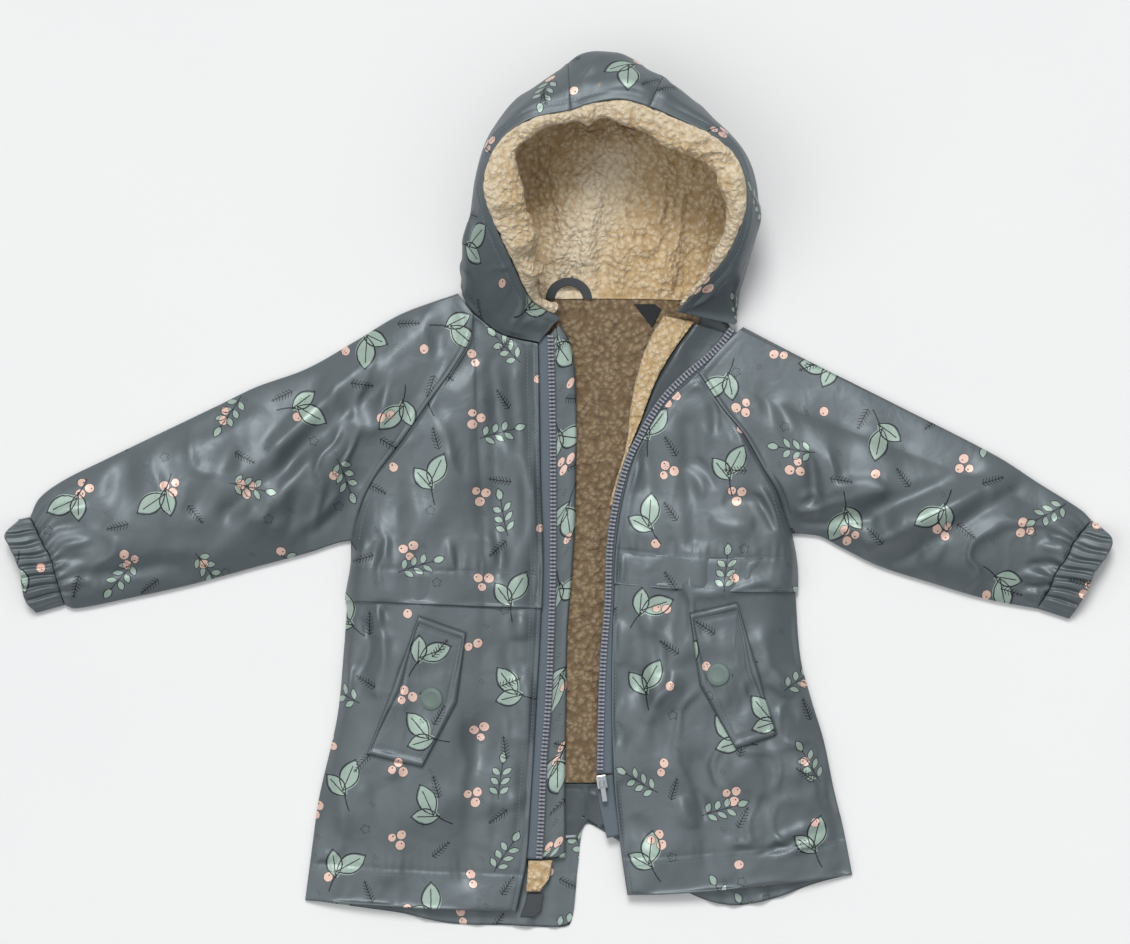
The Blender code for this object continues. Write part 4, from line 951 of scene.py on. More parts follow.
def coated(name, hex_code, lighter, with_print=False, shine=0.47):
    """Satin coated cloth: soft gloss, two clouded tones, a fine woven grain and small wrinkles."""
    look, shader = new_look(name, hex_code, shine, 0.34)
    tree = look.node_tree
    place = cut_place(tree)
    cloud = noise_node(tree, place, 34.0, 4.0, 0.6)
    ground = blend_colours(tree, cloud, lighter, hex_code)
    shown = printed(tree, ground) if with_print else ground
    tree.links.new(shown, shader.inputs["Base Color"])
    rough = Field(tree, cloud) * 0.16 + (shine - 0.08)
    tree.links.new(rough.socket, shader.inputs["Roughness"])
    soft = noise_node(tree, place, 48.0, 2.0, 0.5, 0.5)
    grain = noise_node(tree, place, 1500.0, 1.0)
    first = bump(tree, shader, soft, 1.0, 0.8)
    bump(tree, shader, grain, 0.03, 0.6, first)
    shader.inputs["Specular IOR Level"].default_value = 0.7
    return look


CURL = 4.6              # mm across one curl of the pile


def voronoi(tree, place, size, smoothness=0.35):
    """Distance to the nearest curl's middle, in cells of this size (mm)."""
    node = tree.nodes.new("ShaderNodeTexVoronoi")
    node.feature = "SMOOTH_F1"
    node.inputs["Scale"].default_value = 1 / (size * MM)
    node.inputs["Smoothness"].default_value = smoothness
    tree.links.new(place, node.inputs["Vector"])
    return Field(tree, node.outputs["Distance"])


def pile_look(name, hollow_shade, low, high, tip):
    """Curled pile, with painted shade in the hollows between the curls and a painted highlight on their
    tops; a point attribute paints the pile paler where the hood lining catches the light.
    """
    look, shader = new_look(name, high, 0.95)
    tree = look.node_tree
    where = object_place(tree)
    bend = tree.nodes.new("ShaderNodeVectorMath")
    bend.operation = "MULTIPLY_ADD"
    warp = tree.nodes.new("ShaderNodeTexNoise")
    warp.inputs["Scale"].default_value = 60.0
    tree.links.new(where, warp.inputs["Vector"])
    tree.links.new(warp.outputs["Color"], bend.inputs[0])
    bend.inputs[1].default_value = (0.006, 0.006, 0.006)
    tree.links.new(where, bend.inputs[2])
    curl = voronoi(tree, bend.outputs[0], CURL)
    small = voronoi(tree, bend.outputs[0], CURL * 0.42)
    fuzz = Field(tree, noise_node(tree, where, 1500.0, 3.0, 0.7))
    patches = noise_node(tree, where, 22.0, 3.0)
    clump, painted_light = attribute(tree, "depth"), attribute(tree, "painted_light")
    tall = (curl * -0.85 + 0.95) + (small * -0.2 + 0.08) + (clump - 0.5) * 0.25 + (fuzz - 0.5) * 0.3
    # Painted highlight from a point attribute: paler pile on the hood lining's lip and raised middle
    lit = painted_light.high(0.0).low(1.0)
    body = blend_colours(tree, patches, low, high)
    body = blend_colours(tree, (lit * 0.75).socket, body, tip)
    # Painted shade: the hollows between the curls are painted towards the dark colour
    share = (tall * 1.2 + lit * 0.22 + 0.1).high(0.0).low(1.0)
    shown = blend_colours(tree, share.socket, hollow_shade, body)
    # Painted highlight on the tops of the curls
    tip_highlight = (tall * 1.6 - 0.9).high(0.0).low(0.4)
    shown = blend_colours(tree, tip_highlight.socket, shown, tip)
    tree.links.new(shown, shader.inputs["Base Color"])
    first = bump(tree, shader, (curl * -1.0 + small * -0.3).socket, 3.2, 0.9)
    bump(tree, shader, fuzz.socket, 0.4, 0.8, first)
    shader.inputs["Sheen Weight"].default_value = 0.3
    shader.inputs["Sheen Roughness"].default_value = 0.5
    shader.inputs["Specular IOR Level"].default_value = 0.12
    return look


def woven(name, hex_code, darker, pitch):
    """Woven tape: fine ribs along and across."""
    look, shader = new_look(name, hex_code, 0.8)
    tree = look.node_tree
    x, y, _ = axes(tree, object_place(tree))
    turn = 2 * math.pi / (pitch * MM)
    weave = (x * turn).sin() * (y * turn).sin() * 0.5 + 0.5
    shown = blend_colours(tree, weave.socket, darker, hex_code)
    tree.links.new(shown, shader.inputs["Base Color"])
    bump(tree, shader, weave.socket, 0.15, 0.7)
    return look


def hard(name, hex_code, roughness, metallic=0.0, grain=1200.0, depth=0.02):
    """Plastic, lacquer or metal with a faint grain and uneven gloss."""
    look, shader = new_look(name, hex_code, roughness, metallic)
    tree = look.node_tree
    where = object_place(tree)
    wear = noise_node(tree, where, 420.0, 3.0)
    rough = Field(tree, wear) * 0.2 + (roughness - 0.1)
    tree.links.new(rough.socket, shader.inputs["Roughness"])
    bump(tree, shader, noise_node(tree, where, grain, 2.0), depth, 0.5)
    return look


# ---------------------------------------------------------------- surfaces
def front_surface(neck, raglan, side, opening, hem, neck_share):
    """Outer face of one whole front; u from the opening to the side, v from neck to hem."""
    top = joined(smooth(neck), smooth(raglan), neck_share)
    edges = patch(top, smooth(hem), smooth(opening), smooth(side))

    def at(u, v):
        u, v = np.broadcast_arrays(np.asarray(u, float), np.asarray(v, float))
        point = edges(u, v)
        across = u ** 0.9 * (1 - u ** 5)
        down = 1 - (1 - np.minimum(v / 0.3, 1)) ** 2 - 0.62 * ease((v - 0.62) / 0.38)
        within = np.minimum(1, 12 * u * (1 - u)) * np.minimum(1, 10 * v) * np.minimum(1, 14 * (1 - v))
        point[..., 2] += 17.0 * across * down + relief(point[..., 0], point[..., 1]) * within
        return point

    return at


def surface_normal(surface, u, v, step=0.004):
    """Unit normals of a surface, from places a small step away."""
    across = surface(np.minimum(u + step, 1), v) - surface(np.maximum(u - step, 0), v)
    down = surface(u, np.minimum(v + step, 1)) - surface(u, np.maximum(v - step, 0))
    return unit(np.cross(across, down))


def crossings(surface, edge, columns):
    """For each column the v at which the surface crosses a line across it."""
    line = smooth(edge)
    low, high = np.zeros_like(columns), np.ones_like(columns)
    for _ in range(30):
        middle = (low + high) / 2
        point = surface(columns, middle)
        share = np.clip((point[:, 0] - edge[0][0]) / (edge[-1][0] - edge[0][0]), 0, 1)
        above = point[:, 1] > line(share)[:, 1]
        low, high = np.where(above, middle, low), np.where(above, high, middle)
    return (low + high) / 2


FRONT_WIDE = 205.0                  # from the opening to the side
YOKE_LONG = 190.0                   # from the raglan seam to the free hem
FRONT_LONG = 320.0                  # from the yoke's seam to the hem
PRINT_SHIFT = {"left": (0.0, 0.0), "right": (31.0, 17.0)}   # so that the sides don't mirror
BACK_PRINT_SHIFT = (9.0, 33.0)
OPENING_STITCHES = (4.0, 10.5)      # double row beside the left opening
HEM_STITCH = 33.0                   # above the hem


def front_columns():
    """Places across a front, closer at its edges and stitches."""
    return samples(FRONT_WIDE, PITCH, fine=((0, 2.5), (OPENING_STITCHES[0], 2), (FRONT_WIDE, 2)),
                   start=0.002, end=0.998)


def edge_distance(points, axis, last=False):
    """Distance of each point of a grid from its first or last row or column (mm)."""
    along = arc(points, axis)
    return np.take(along, [-1], axis=axis) - along if last else along


def finish_front(points, seed, hem=None, top_seam=False):
    """Creases, rumples, the rolled opening and the seams of a front or a yoke."""
    x, y = points[..., 0], points[..., 1]
    opening, side = edge_distance(points, 1), edge_distance(points, 1, True)
    bottom, top = edge_distance(points, 0, True), edge_distance(points, 0)
    calm = ease(opening / 7) * ease(side / 10) * ease(bottom / 4) * ease(top / 5)
    rise = (2.3 * creases(x, y) + 0.7 * relief(x, y) + rumple(x, y, seed, 1.6)) * calm
    rise -= roll(opening, 1.5) + roll(bottom, 1.4)
    for distance in OPENING_STITCHES:
        rise += groove(opening - distance, 1.6, 0.45)
    if hem:
        rise += groove(bottom - hem, 2.0, 0.6)
        pucker = np.sin(0.9 * x + 9 * value_noise(x / 23, y / 60, seed + 7))
        rise += 0.4 * pucker * np.exp(-((bottom - hem - 4) / 8) ** 2) * ease(side / 20)
    if top_seam:
        rise -= 0.8 * np.exp(-(top / 1.8) ** 2)
    points[..., 2] += rise
    return points


def make_front(side, surface, edge, up, seed):
    """The lower front, and the yoke whose free hem lies on it; up is 1 or -1 for the normal."""
    u = front_columns()
    ends = crossings(surface, edge, u)
    seams = crossings(surface, [(x, y + YOKE_OVERLAP) for x, y in edge], u)
    inset = RAGLAN_INSET * (0.4 + 0.6 * ease(u / 0.4))
    rows = samples(YOKE_LONG, PITCH, fine=((0, 3), (YOKE_LONG - YOKE_OVERLAP, 3), (YOKE_LONG, 3)))[:, None]
    v = inset + (ends - inset) * rows
    columns = np.broadcast_to(u, v.shape)
    rise = YOKE_LIFT * ease(1.5 - (seams - v) / 0.1)
    yoke = surface(columns, v) + surface_normal(surface, columns, v) * (rise * up)[..., None]
    yoke = finish_front(yoke, seed, hem=YOKE_OVERLAP, top_seam=True)
    rows = samples(FRONT_LONG, PITCH, fine=((FRONT_LONG - HEM_STITCH, 3), (FRONT_LONG, 3)))[:, None]
    v = seams + (1 - seams) * rows
    lower = finish_front(surface(np.broadcast_to(u, v.shape), v), seed + 20, hem=HEM_STITCH)
    shift = np.array(PRINT_SHIFT[side])
    return [sewn(name + side + "_cloth", points, points[..., :2] + shift, cloth, "cloth", name + side,
                 "back_lining", "back")
            for name, points in (("yoke_", yoke), ("front_", lower))]


ARM_WIDE = 130.0
UPPER = samples(ARM_WIDE, PITCH, fine=((0, 3), (ARM_WIDE, 3)))      # places across a sleeve's upper side
# A tube's underside: share of its width, height as a share of its edge's height
RESTING_SHARES = ((.994, .62), (.985, .3), (.97, .1), (.95, .05), (.83, .05), (.72, .05), (.61, .05),
                  (.5, .05), (.39, .05), (.28, .05), (.16, .05), (.05, .05), (.03, .1), (.015, .3),
                  (.006, .62))


def dome(share):
    """Cross-section of stuffed cloth: 0 at both edges, 1 in the middle."""
    return (1 - np.abs(2 * share - 1) ** 2.2) ** 0.9


def tube(plan, top_height, edge_height, lengths, upper):
    """Rings of a flattened tube whose plan is a patch of (length, width)."""
    length, share = np.meshgrid(lengths, upper, indexing="ij")
    top = plan(length, share)
    top[..., 2] = top_height(length, share, top)
    rest_share, rest_height = np.array(RESTING_SHARES).T
    length, share = np.meshgrid(lengths, rest_share, indexing="ij")
    rest = plan(length, share)
    rest[..., 2] = edge_height * rest_height + 0.06
    return np.concatenate((top, rest), axis=1)


# Down the sleeve, as a turn from the print's up
SLEEVE_TURN = {"left": math.radians(-154), "right": math.radians(154)}
SLEEVE_LONG = 330.0     # over the middle, for the fades at its ends
ARM_LONG = 340.0        # along the upper edge, for the walk
ARM_STITCH = 6.5        # from the raglan seam
CUFF_LONG = 30.0


def laid_plan(points, side):
    """Place of a tube's points on the cut cloth, whose print runs along the sleeve."""
    ring = closed_ring(points)
    c, s = math.cos(SLEEVE_TURN[side]), math.sin(SLEEVE_TURN[side])
    x, y = ring[..., 0], ring[..., 1]
    return np.stack((x * c + y * s, y * c - x * s), -1) + np.array(PRINT_SHIFT[side]) + (13.0, 40.0)


def sewn_tube(node, points, side, **declared):
    """The cloth of a sleeve or a cuff."""
    return sewn(node + "_cloth", points, laid_plan(points, side), cloth, "cloth", node, "floor",
                core=points.reshape(-1, 3).mean(0), closed=True, **declared)


def make_sleeve(side, upper, lower, wrist, neck, raglan, seed):
    """A raglan sleeve, as a flattened tube from the wrist to the seam."""
    armhole = joined(smooth(neck), smooth(raglan), 0.12)
    plan = patch(smooth(upper), smooth(lower), smooth(wrist), armhole)

    def height(length, share, point):
        crest = WRIST_CREST + (ARM_CREST - WRIST_CREST) * ease(length / 0.35)
        calm = np.minimum(1, 8 * share * (1 - share))
        x, y = point[..., 0], point[..., 1]
        rise = SLEEVE_EDGE + (crest - SLEEVE_EDGE) * dome(share) + relief(x, y) * calm
        level = np.maximum(armhole(share)[..., 2], SLEEVE_EDGE)
        level = np.where((share > 0) & (share < 1), level, SLEEVE_EDGE)
        rise = rise + (level - rise) * ease((length - 0.72) / 0.28)
        from_wrist, from_seam = length * SLEEVE_LONG, (1 - length) * SLEEVE_LONG
        ends = ease(from_seam / 12)
        gathers = np.sin(2 * np.pi * CUFF_GATHERS * (share + 0.02 * np.sin(9 * share)))
        rise += calm * ((2.1 * creases(x, y) + 0.7 * relief(x, y) + rumple(x, y, seed, 1.8)) * ends
                        + 1.8 * gathers * np.exp(-(from_wrist / 15) ** 2)
                        - 1.6 * np.exp(-(from_wrist / 3) ** 2)
                        - 0.8 * np.exp(-(from_seam / 1.8) ** 2))
        return rise + groove(from_seam - ARM_STITCH, 1.6, 0.4) * calm

    lengths = samples(ARM_LONG, PITCH, fine=((0, 6), (ARM_LONG - ARM_STITCH, 3), (ARM_LONG, 3)),
                      start=WRIST_INSET, end=1 - SLEEVE_INSET)
    points = tube(plan, height, SLEEVE_EDGE, lengths, UPPER)
    return sewn_tube("sleeve_" + side, points, side)


def make_cuff(side, wrist, end, seed):
    """A gathered band from the sleeve's end to the wrist opening."""
    plan = patch(smooth((wrist[0], end[0])), smooth((wrist[-1], end[-1])), smooth(wrist), smooth(end))

    def height(length, share, point):
        phase = (CUFF_GATHERS * (share + 0.018 * np.sin(7 * share + 2 * length))
                 + 0.08 * np.sin(5 * length + 8 * share))
        wave = np.sin(2 * np.pi * phase)
        gathers = np.sign(wave) * np.abs(wave) ** 0.8 + 0.3 * np.sin(4 * np.pi * phase + 1.3)
        fade = (np.minimum(1, 9 * share * (1 - share))
                * (0.55 + 0.45 * np.sin(np.pi * np.minimum(length, 1))))
        crest = WRIST_CREST + (CUFF_CREST - WRIST_CREST) * length
        fine = rumple(point[..., 0] * 2, point[..., 1] * 2, seed, 0.5)
        lip = roll((1 - length) * CUFF_LONG, 1.6)
        return (SLEEVE_EDGE + (crest - SLEEVE_EDGE) * dome(share)
                + CUFF_GATHER_HEIGHT * (gathers + fine * 0.5) * fade - lip
                - 1.2 * np.exp(-((length * CUFF_LONG) / 2.5) ** 2))

    lengths = samples(CUFF_LONG, 1.3, fine=((0, 2), (CUFF_LONG, 2)), start=CUFF_INSET)
    points = tube(plan, height, SLEEVE_EDGE, lengths, spaced(14 * CUFF_GATHERS))
    sewn_tube("cuff_" + side, points, side, held="gathered", ease_in=1.2)


# ---------------------------------------------------------------- hood
def hood_lines():
    """Curves over the head at each level of the hood, and the width of its lip."""
    rows = {part: [getattr(row, part) for row in HOOD] for part in HoodLine._fields}
    lines = [smooth(rows[part], by_length=False) for part in HoodLine._fields[:-1]]
    return lines, smooth([(lip, 0, 0) for lip in rows["lip"]], by_length=False)


HOOD_LINES, LIP = hood_lines()


def hood_surface(along, down):
    """Outer face of the hood; along runs over the head, down from the face edge to the neck."""
    along, down = np.broadcast_arrays(np.asarray(along, float), np.asarray(down, float))
    levels = np.stack([line(along) for line in HOOD_LINES])
    marks = np.arange(len(levels), dtype=float)
    slopes = slopes_of(levels, marks)
    pick = np.indices(along.shape)
    point = between(lambda i: levels[(i, *pick)], lambda i: slopes[(i, *pick)], marks, down * marks[-1])
    point[..., 2] = np.maximum(point[..., 2], 0.0)
    return point


HoodPanel = namedtuple("HoodPanel", "name start end wide")
CROWN_INSET = 0.0001
HOOD_PANELS = (HoodPanel("hood_left", 0.0, LEFT_CROWN_SEAM - CROWN_INSET, 330.0),
               HoodPanel("hood_center", LEFT_CROWN_SEAM + CROWN_INSET,
                         RIGHT_CROWN_SEAM - CROWN_INSET, 80.0),
               HoodPanel("hood_right", RIGHT_CROWN_SEAM + CROWN_INSET, 1.0, 300.0))
HOOD_PITCH = 3.0
HOOD_DEEP = 330.0       # length of the longest line over the shell
BRIM_STITCH = 8.0


def make_hood():
    """The three panels of the hood, with rumples, a stitched brim and pulled seams."""
    pieces = []
    for number, panel in enumerate(HOOD_PANELS):
        whole = panel.wide / (panel.end - panel.start)
        along = samples(whole, HOOD_PITCH, start=panel.start, end=panel.end,
                        fine=((panel.start * whole, 3), (panel.end * whole, 3)))
        down = samples(HOOD_DEEP, HOOD_PITCH, fine=((0, 3), (BRIM_STITCH, 3)))
        along, down = np.meshgrid(along, down, indexing="ij")
        points = hood_surface(along, down)
        normal = surface_normal(hood_surface, along, down, 0.01)
        outward = np.sign(np.sum(normal * (points - np.array(HOOD_CORE)), -1).mean())
        face, left, right = (edge_distance(points, 1), edge_distance(points, 0),
                             edge_distance(points, 0, True))
        span = np.broadcast_to(arc(points, 0).mean(axis=1, keepdims=True), face.shape)
        calm = ease(face / 14) * ease(left / 9) * ease(right / 9) * ease((points[..., 2] - 4) / 12)
        calm *= ease((1 - down) / 0.12)
        rise = rumple(span + 40 * number, face, 40 + number, 1.3) * calm
        rise = np.where(rise < 0, 1.8 * np.tanh(rise / 1.8), rise)      # clear of the lining
        rise += groove(face - BRIM_STITCH, 1.8, 0.5) - roll(face, 1.3)
        seam = np.minimum(left if number else 99, right if number < 2 else 99)
        rise -= 0.6 * np.exp(-(seam / 1.5) ** 2)
        points += normal * (rise * outward)[..., None]
        points[..., 2] = np.maximum(points[..., 2], 0.05)
        place = np.stack((span, -arc(points, 1)), -1) + (60.0 * number, 25.0)
        pieces.append(sewn(panel.name + "_cloth", points, place, cloth, "cloth", panel.name, "floor",
                           core=HOOD_CORE))
    return pieces


# The lining's roll over the face edge: share of the lip's width, mm beyond it, mm down
LipRow = namedtuple("LipRow", "share beyond down")
LIP_ROWS = (LipRow(0, 1.4, 2.2), LipRow(0, 1.9, 0.2), LipRow(0.08, 2.9, -1.0), LipRow(0.5, 1.5, -1.4),
            LipRow(0.86, 1.0, 0.6), LipRow(1, 1.6, 5.5), LipRow(0.93, 0.6, 10.6), LipRow(0.6, 0, 13.4))
HOOD_DOWN = (.1, .2, .28, .36, .43, .5, .57, .64, .7, .76, .86, 1)
LINING_START, LINING_END = 0.012, 0.988
NECK_SLACK = 1.3


def lining_rows(along):
    """Lines of the hood lining, from the roll at the face to the neck."""
    face = hood_surface(along, 0.0)
    inward = np.array(HOOD_CORE) - face
    inward[:, 2] = 0
    inward = unit(inward)
    run = hood_surface(np.minimum(along + 0.01, 1), 0.0) - hood_surface(np.maximum(along - 0.01, 0), 0.0)
    run = unit(run)
    up = unit(UP - run * run[:, 2:])
    depth = (1 - 0.3 * np.maximum(ease((along - 0.83) / 0.06), ease((0.1 - along) / 0.05)))[:, None]
    lip = LIP(along)[:, :1]
    rows = [face + inward * (lip * row.share + row.beyond) - up * row.down * depth for row in LIP_ROWS]
    reach = 0.996 - 0.3 * ease((along - 0.84) / 0.14)
    clear = (CLOTH + GAP + PILE + NECK_SLACK * np.exp(-((along - 0.2) / 0.06) ** 2))[:, None]
    for down in HOOD_DOWN:
        v = down * reach
        rows.append(hood_surface(along, v) - surface_normal(hood_surface, along, v, 0.01) * clear)
    return np.stack(rows, axis=1)


def along_rows(rows, count):
    """Each line of a grid walked again in equal steps of its own length."""
    marks = np.arange(rows.shape[1], dtype=float)
    reach = np.linspace(0, marks[-1], 6 * rows.shape[1])
    lines = np.swapaxes(rows, 0, 1)
    slopes = slopes_of(lines, marks)
    fine = np.stack([between(lambda i: lines[i, k], lambda i: slopes[i, k], marks, reach)
                     for k in range(rows.shape[0])])
    length = arc(fine, 1)
    made = np.empty((rows.shape[0], count, 3))
    for k in range(rows.shape[0]):
        places = np.linspace(0, length[k, -1], count)
        for axis in range(3):
            made[k, :, axis] = np.interp(places, length[k], fine[k, :, axis])
    return made


CLUMP, SMALL_CURL = 9.0, 5.0        # mm across the pile's lumps
NAP_HEIGHT, NAP_SUNK = 2.2, 1.0     # mm from base to tip, and how much of it lies below the surface


def curls(points, size, seed):
    """Rounded lumps, 0 between them to 1 on top, spread evenly in space."""
    place = points / size
    cell = np.floor(place)
    nearest = np.full(points.shape[:-1], 9.0)
    for step in product((-1, 0, 1), repeat=3):
        near = cell + step
        key = near @ np.array((127.1, 311.7, 74.7)) + seed
        chance = np.stack([np.sin(key + k * 17.3) * 43758.5453 for k in range(3)], -1)
        nearest = np.minimum(nearest, np.linalg.norm(place - (near + chance - np.floor(chance)), axis=-1))
    return np.sqrt(np.clip(1 - (nearest / 0.92) ** 2, 0, 1))


def nap(points, normal, strength=1.0):
    """Curled pile raised on a surface; returns the points and the depth of each."""
    clumps = curls(points * (1.0, 0.86, 1.0), CLUMP, 3.0)
    depth = 0.6 * clumps + 0.4 * curls(points + clumps_shift(points), SMALL_CURL, 8.0)
    return points + normal * ((depth * NAP_HEIGHT - NAP_SUNK) * strength)[..., None], depth


def clumps_shift(points):
    """A gentle shift that breaks up the even cells."""
    return np.stack([np.sin(points[..., 1] / 5), np.sin(points[..., 0] / 6), 0 * points[..., 0]], -1)


HOOD_RIDGE = ((52, 306), (6, 180))     # the middle panel stands up along this line
RIDGE_HEIGHT = 7.0
RIDGE_WIDTH, PAINTED_HIGHLIGHT_WIDTH = 24.0, 27.0     # of the ridge, and of the painted highlight along it
LINING_COLUMNS, LINING_ROWS = 300, 232
LINING_AROUND = 700.0                   # length of the lining round the face


def make_hood_lining():
    """The pile lining: a roll over the face edge, and the bowl with its raised middle."""
    along = np.linspace(LINING_START, LINING_END, LINING_COLUMNS)
    points = along_rows(lining_rows(along), LINING_ROWS)
    normal = normals_of(points)
    normal *= np.sign(np.sum(normal[:, 60:] * (np.array(HOOD_CORE) - points[:, 60:]), -1).mean())
    around = along[:, None] * LINING_AROUND
    wave = rumple(around, arc(points, 1), 61, 2.0)
    fade = ease(edge_distance(points, 1) / 10) * ease(edge_distance(points, 1, True) / 12)
    base = points + normal * (wave * fade)[..., None]
    (x0, y0), (x1, y1) = HOOD_RIDGE
    x, y, z = np.moveaxis(base, -1, 0)
    middle = x0 + (x1 - x0) * np.clip((y - y0) / (y1 - y0), -0.3, 1.2)
    on_floor = ease((60 - z) / 30) * ease((322 - y) / 20) * ease((y - 186) / 18)
    base[..., 2] += RIDGE_HEIGHT * np.exp(-((x - middle) / RIDGE_WIDTH) ** 2) * on_floor
    points, depth = nap(base, normal)
    plan = np.stack((np.broadcast_to(around, depth.shape), arc(points, 1)), -1)
    # Painted highlight: the pile is painted paler on the rolled lip and along the raised middle, where they
    # catch the light
    rim = ease(1 - edge_distance(base, 1) / 34) * 0.8
    painted_light = np.maximum(rim, np.exp(-((x - middle) / PAINTED_HIGHLIGHT_WIDTH) ** 2) * ease((330 - y) / 60) * (z < 70))
    piece = grid("hood_pile", points, plan, pile, core=HOOD_CORE, inward=True, marks=depth, painted_light=painted_light)
    dress(piece, "pile", "lining_hood_left", "lining_hood_center", "lining_hood_right")
    lay(piece, base, "laid", "hood_left", "hood_center", "hood_right")


# ---------------------------------------------------------------- back
def make_back():
    """The back panel and its puckered tail."""
    side_left = smooth([(x + BACK_INSET, y) for x, y, _ in LEFT_SIDE])
    side_right = smooth([(x - BACK_INSET, y) for x, y, _ in RIGHT_SIDE])
    raglan_left = smooth([(x + BACK_INSET, y) for x, y, _ in LEFT_RAGLAN])
    raglan_right = smooth([BACK_TOP[-1], (138, 126)] + [(x - BACK_INSET, y) for x, y, _ in RIGHT_RAGLAN])
    left, right = joined(raglan_left, side_left, 0.42), joined(raglan_right, side_right, 0.42)
    plan = patch(smooth(BACK_TOP), smooth(BACK_HEM), left, right)
    u, v = np.meshgrid(spaced(150), np.concatenate((spaced(90, 0, 0.8), spaced(44, 0.805, 1.0))))
    points = plan(u, v)
    x, y = points[..., 0], points[..., 1]
    near_hem = ease((v - 0.86) / 0.14)
    lift = sum(tuck.height * np.exp(-((x - tuck.x) / tuck.width) ** 2) for tuck in TAIL_TUCKS)
    lift = lift + 0.5 * np.sin(0.55 * x + 6 * value_noise(x / 17, y / 60, 90)) ** 3
    bottom = edge_distance(points, 0, True)
    points[..., 2] = (BACK_CLOTH + lift * near_hem + groove(bottom - 7, 1.8, 0.4)
                      + rumple(x, y, 71, 0.6) * near_hem)
    points[..., 2] = np.maximum(points[..., 2], SHELL + 0.05)
    sewn("back_cloth", points, points[..., :2] + BACK_PRINT_SHIFT, cloth, "cloth", "back", "floor")


def make_back_lining():
    """The pile that shows between the fronts."""
    plan = patch(*map(smooth, (LINING_TOP, LINING_BOTTOM, LINING_LEFT_EDGE, LINING_RIGHT_EDGE)))
    shown = np.concatenate((spaced(8, 0, 0.28), spaced(105, 0.29, 0.80), spaced(6, 0.82, 1.0)))
    u, v = np.meshgrid(shown, spaced(245))
    points = plan(u, v)
    points[..., 2] = BACK_CLOTH + GAP + PILE - 0.9
    points[..., 1] += 4.0 * ease(1 - v / 0.03)
    x, y = points[..., 0], points[..., 1]
    points[..., 2] += 1.2 * (value_noise(x / 34, y / 55, 81) - 0.5) - 1.1 * np.exp(-((x - 36) / 2.6) ** 2)
    base = points
    points, depth = nap(base, UP, 0.9)
    # Painted shade: this lining takes the darker pile, standing in for the shade that the fronts cast on it
    piece = grid("back_pile", points, points[..., :2], painted_shade_pile, marks=depth)
    dress(piece, "pile", "back_lining")
    lay(piece, base, "laid", "back")


# ---------------------------------------------------------------- facings, strips and tapes
def level_of(rows):
    """Height of an edge as a function of y."""
    ordered = np.array(sorted((row[1], row[2]) for row in rows))
    return lambda y: np.interp(y, ordered[:, 0], ordered[:, 1])


left_level = level_of(LEFT_OPENING)
right_level = level_of(RIGHT_OPENING + SLEEVE_RIGHT_NECK[:2])


def tape_top(level):
    """Upper face of a tape sewn under an edge whose own upper face is at this level."""
    return level - CLOTH - GAP - 0.2


def below_tape(edge, level):
    """An edge at the height of the underside of a tape."""
    return [(x, y, tape_top(level(y)) - TAPE - 1.4 * GAP) for x, y in edge]


def strip_points(inner, outer, pitch, bow=1.0):
    """Grid between two edges; rows run along, columns from the inner edge to the outer one."""
    first, second = smooth(inner), smooth(outer)
    long = np.linalg.norm(np.diff(first(spaced(60)), axis=0), axis=1).sum()
    wide = np.linalg.norm(first(spaced(20)) - second(spaced(20)), axis=1).mean()
    t, s = np.meshgrid(spaced(int(long / pitch)), spaced(max(int(wide / pitch), 6)), indexing="ij")
    a, b = first(t), second(t)
    points = a + (b - a) * s[..., None]
    points[..., 2] = b[..., 2] + (a[..., 2] - b[..., 2]) * (1 - s) ** bow
    plan = np.stack((arc(points, 1), arc(points, 0)), -1)
    return points, plan


def make_facings():
    """Both facings and the strip of pile beside the right one."""
    points, plan = strip_points(below_tape(FACING_LEFT_IN, left_level), FACING_LEFT_OUT, 2.2)
    x, y = points[..., 0], points[..., 1]
    edge = edge_distance(points, 1, True)
    crumple = ease((-y - 262) / 40) * np.exp(-((x + 6) / 14) ** 2)
    points[..., 2] += (0.55 * rumple(x * 1.3, y, 51) * ease(edge / 7) + crumple * rumple(3 * x, 2 * y, 52)
                       - roll(edge, 1.0) + groove(edge - 3.0, 1.3, 0.35)
                       - 0.4 * value_noise(x / 9, y / 23, 53))
    sewn("facing_left_cloth", points, plan + (150, 20), cloth, "cloth", "facing_left", "back_lining")
    points, plan = strip_points(FACING_RIGHT_IN, below_tape(FACING_RIGHT_OUT, right_level), 2.2, 2.2)
    x, y = points[..., 0], points[..., 1]
    edge = edge_distance(points, 1)
    points[..., 2] += 0.5 * rumple(1.4 * x, 1.4 * y, 54) * ease(edge / 6) - roll(edge, 1.0)
    sewn("facing_right_cloth", points, plan, dark_cloth, "dark_cloth", "facing_right", "back_lining")
    points, plan = strip_points(STRIP_RIGHT_IN, STRIP_RIGHT_OUT, 1.5)
    points[..., 2] -= 1.0
    points[..., 2] -= roll(edge_distance(points, 1), 2.6)
    base = points
    points, depth = nap(base, UP, 0.85)
    strip = thicken(grid("strip_pile", points, plan, pile, marks=depth), 2.0)
    dress(strip, "pile", "lining_strip")
    lay(strip, base, "laid", "back_lining")


TOOTH_PITCH = 3.3
# One tooth across the chain, from the tape's edge inwards: across, half length, height (mm)
Section = namedtuple("Section", "across half height")
TOOTH = (Section(-3.1, 0.55, 0.9), Section(-2.8, 0.95, 1.9), Section(-1.9, 1.15, 2.4),
         Section(-0.9, 0.8, 2.2), Section(0.2, 0.75, 2.2), Section(0.9, 1.1, 2.5),
         Section(2.2, 1.15, 2.5), Section(2.7, 0.8, 1.2))


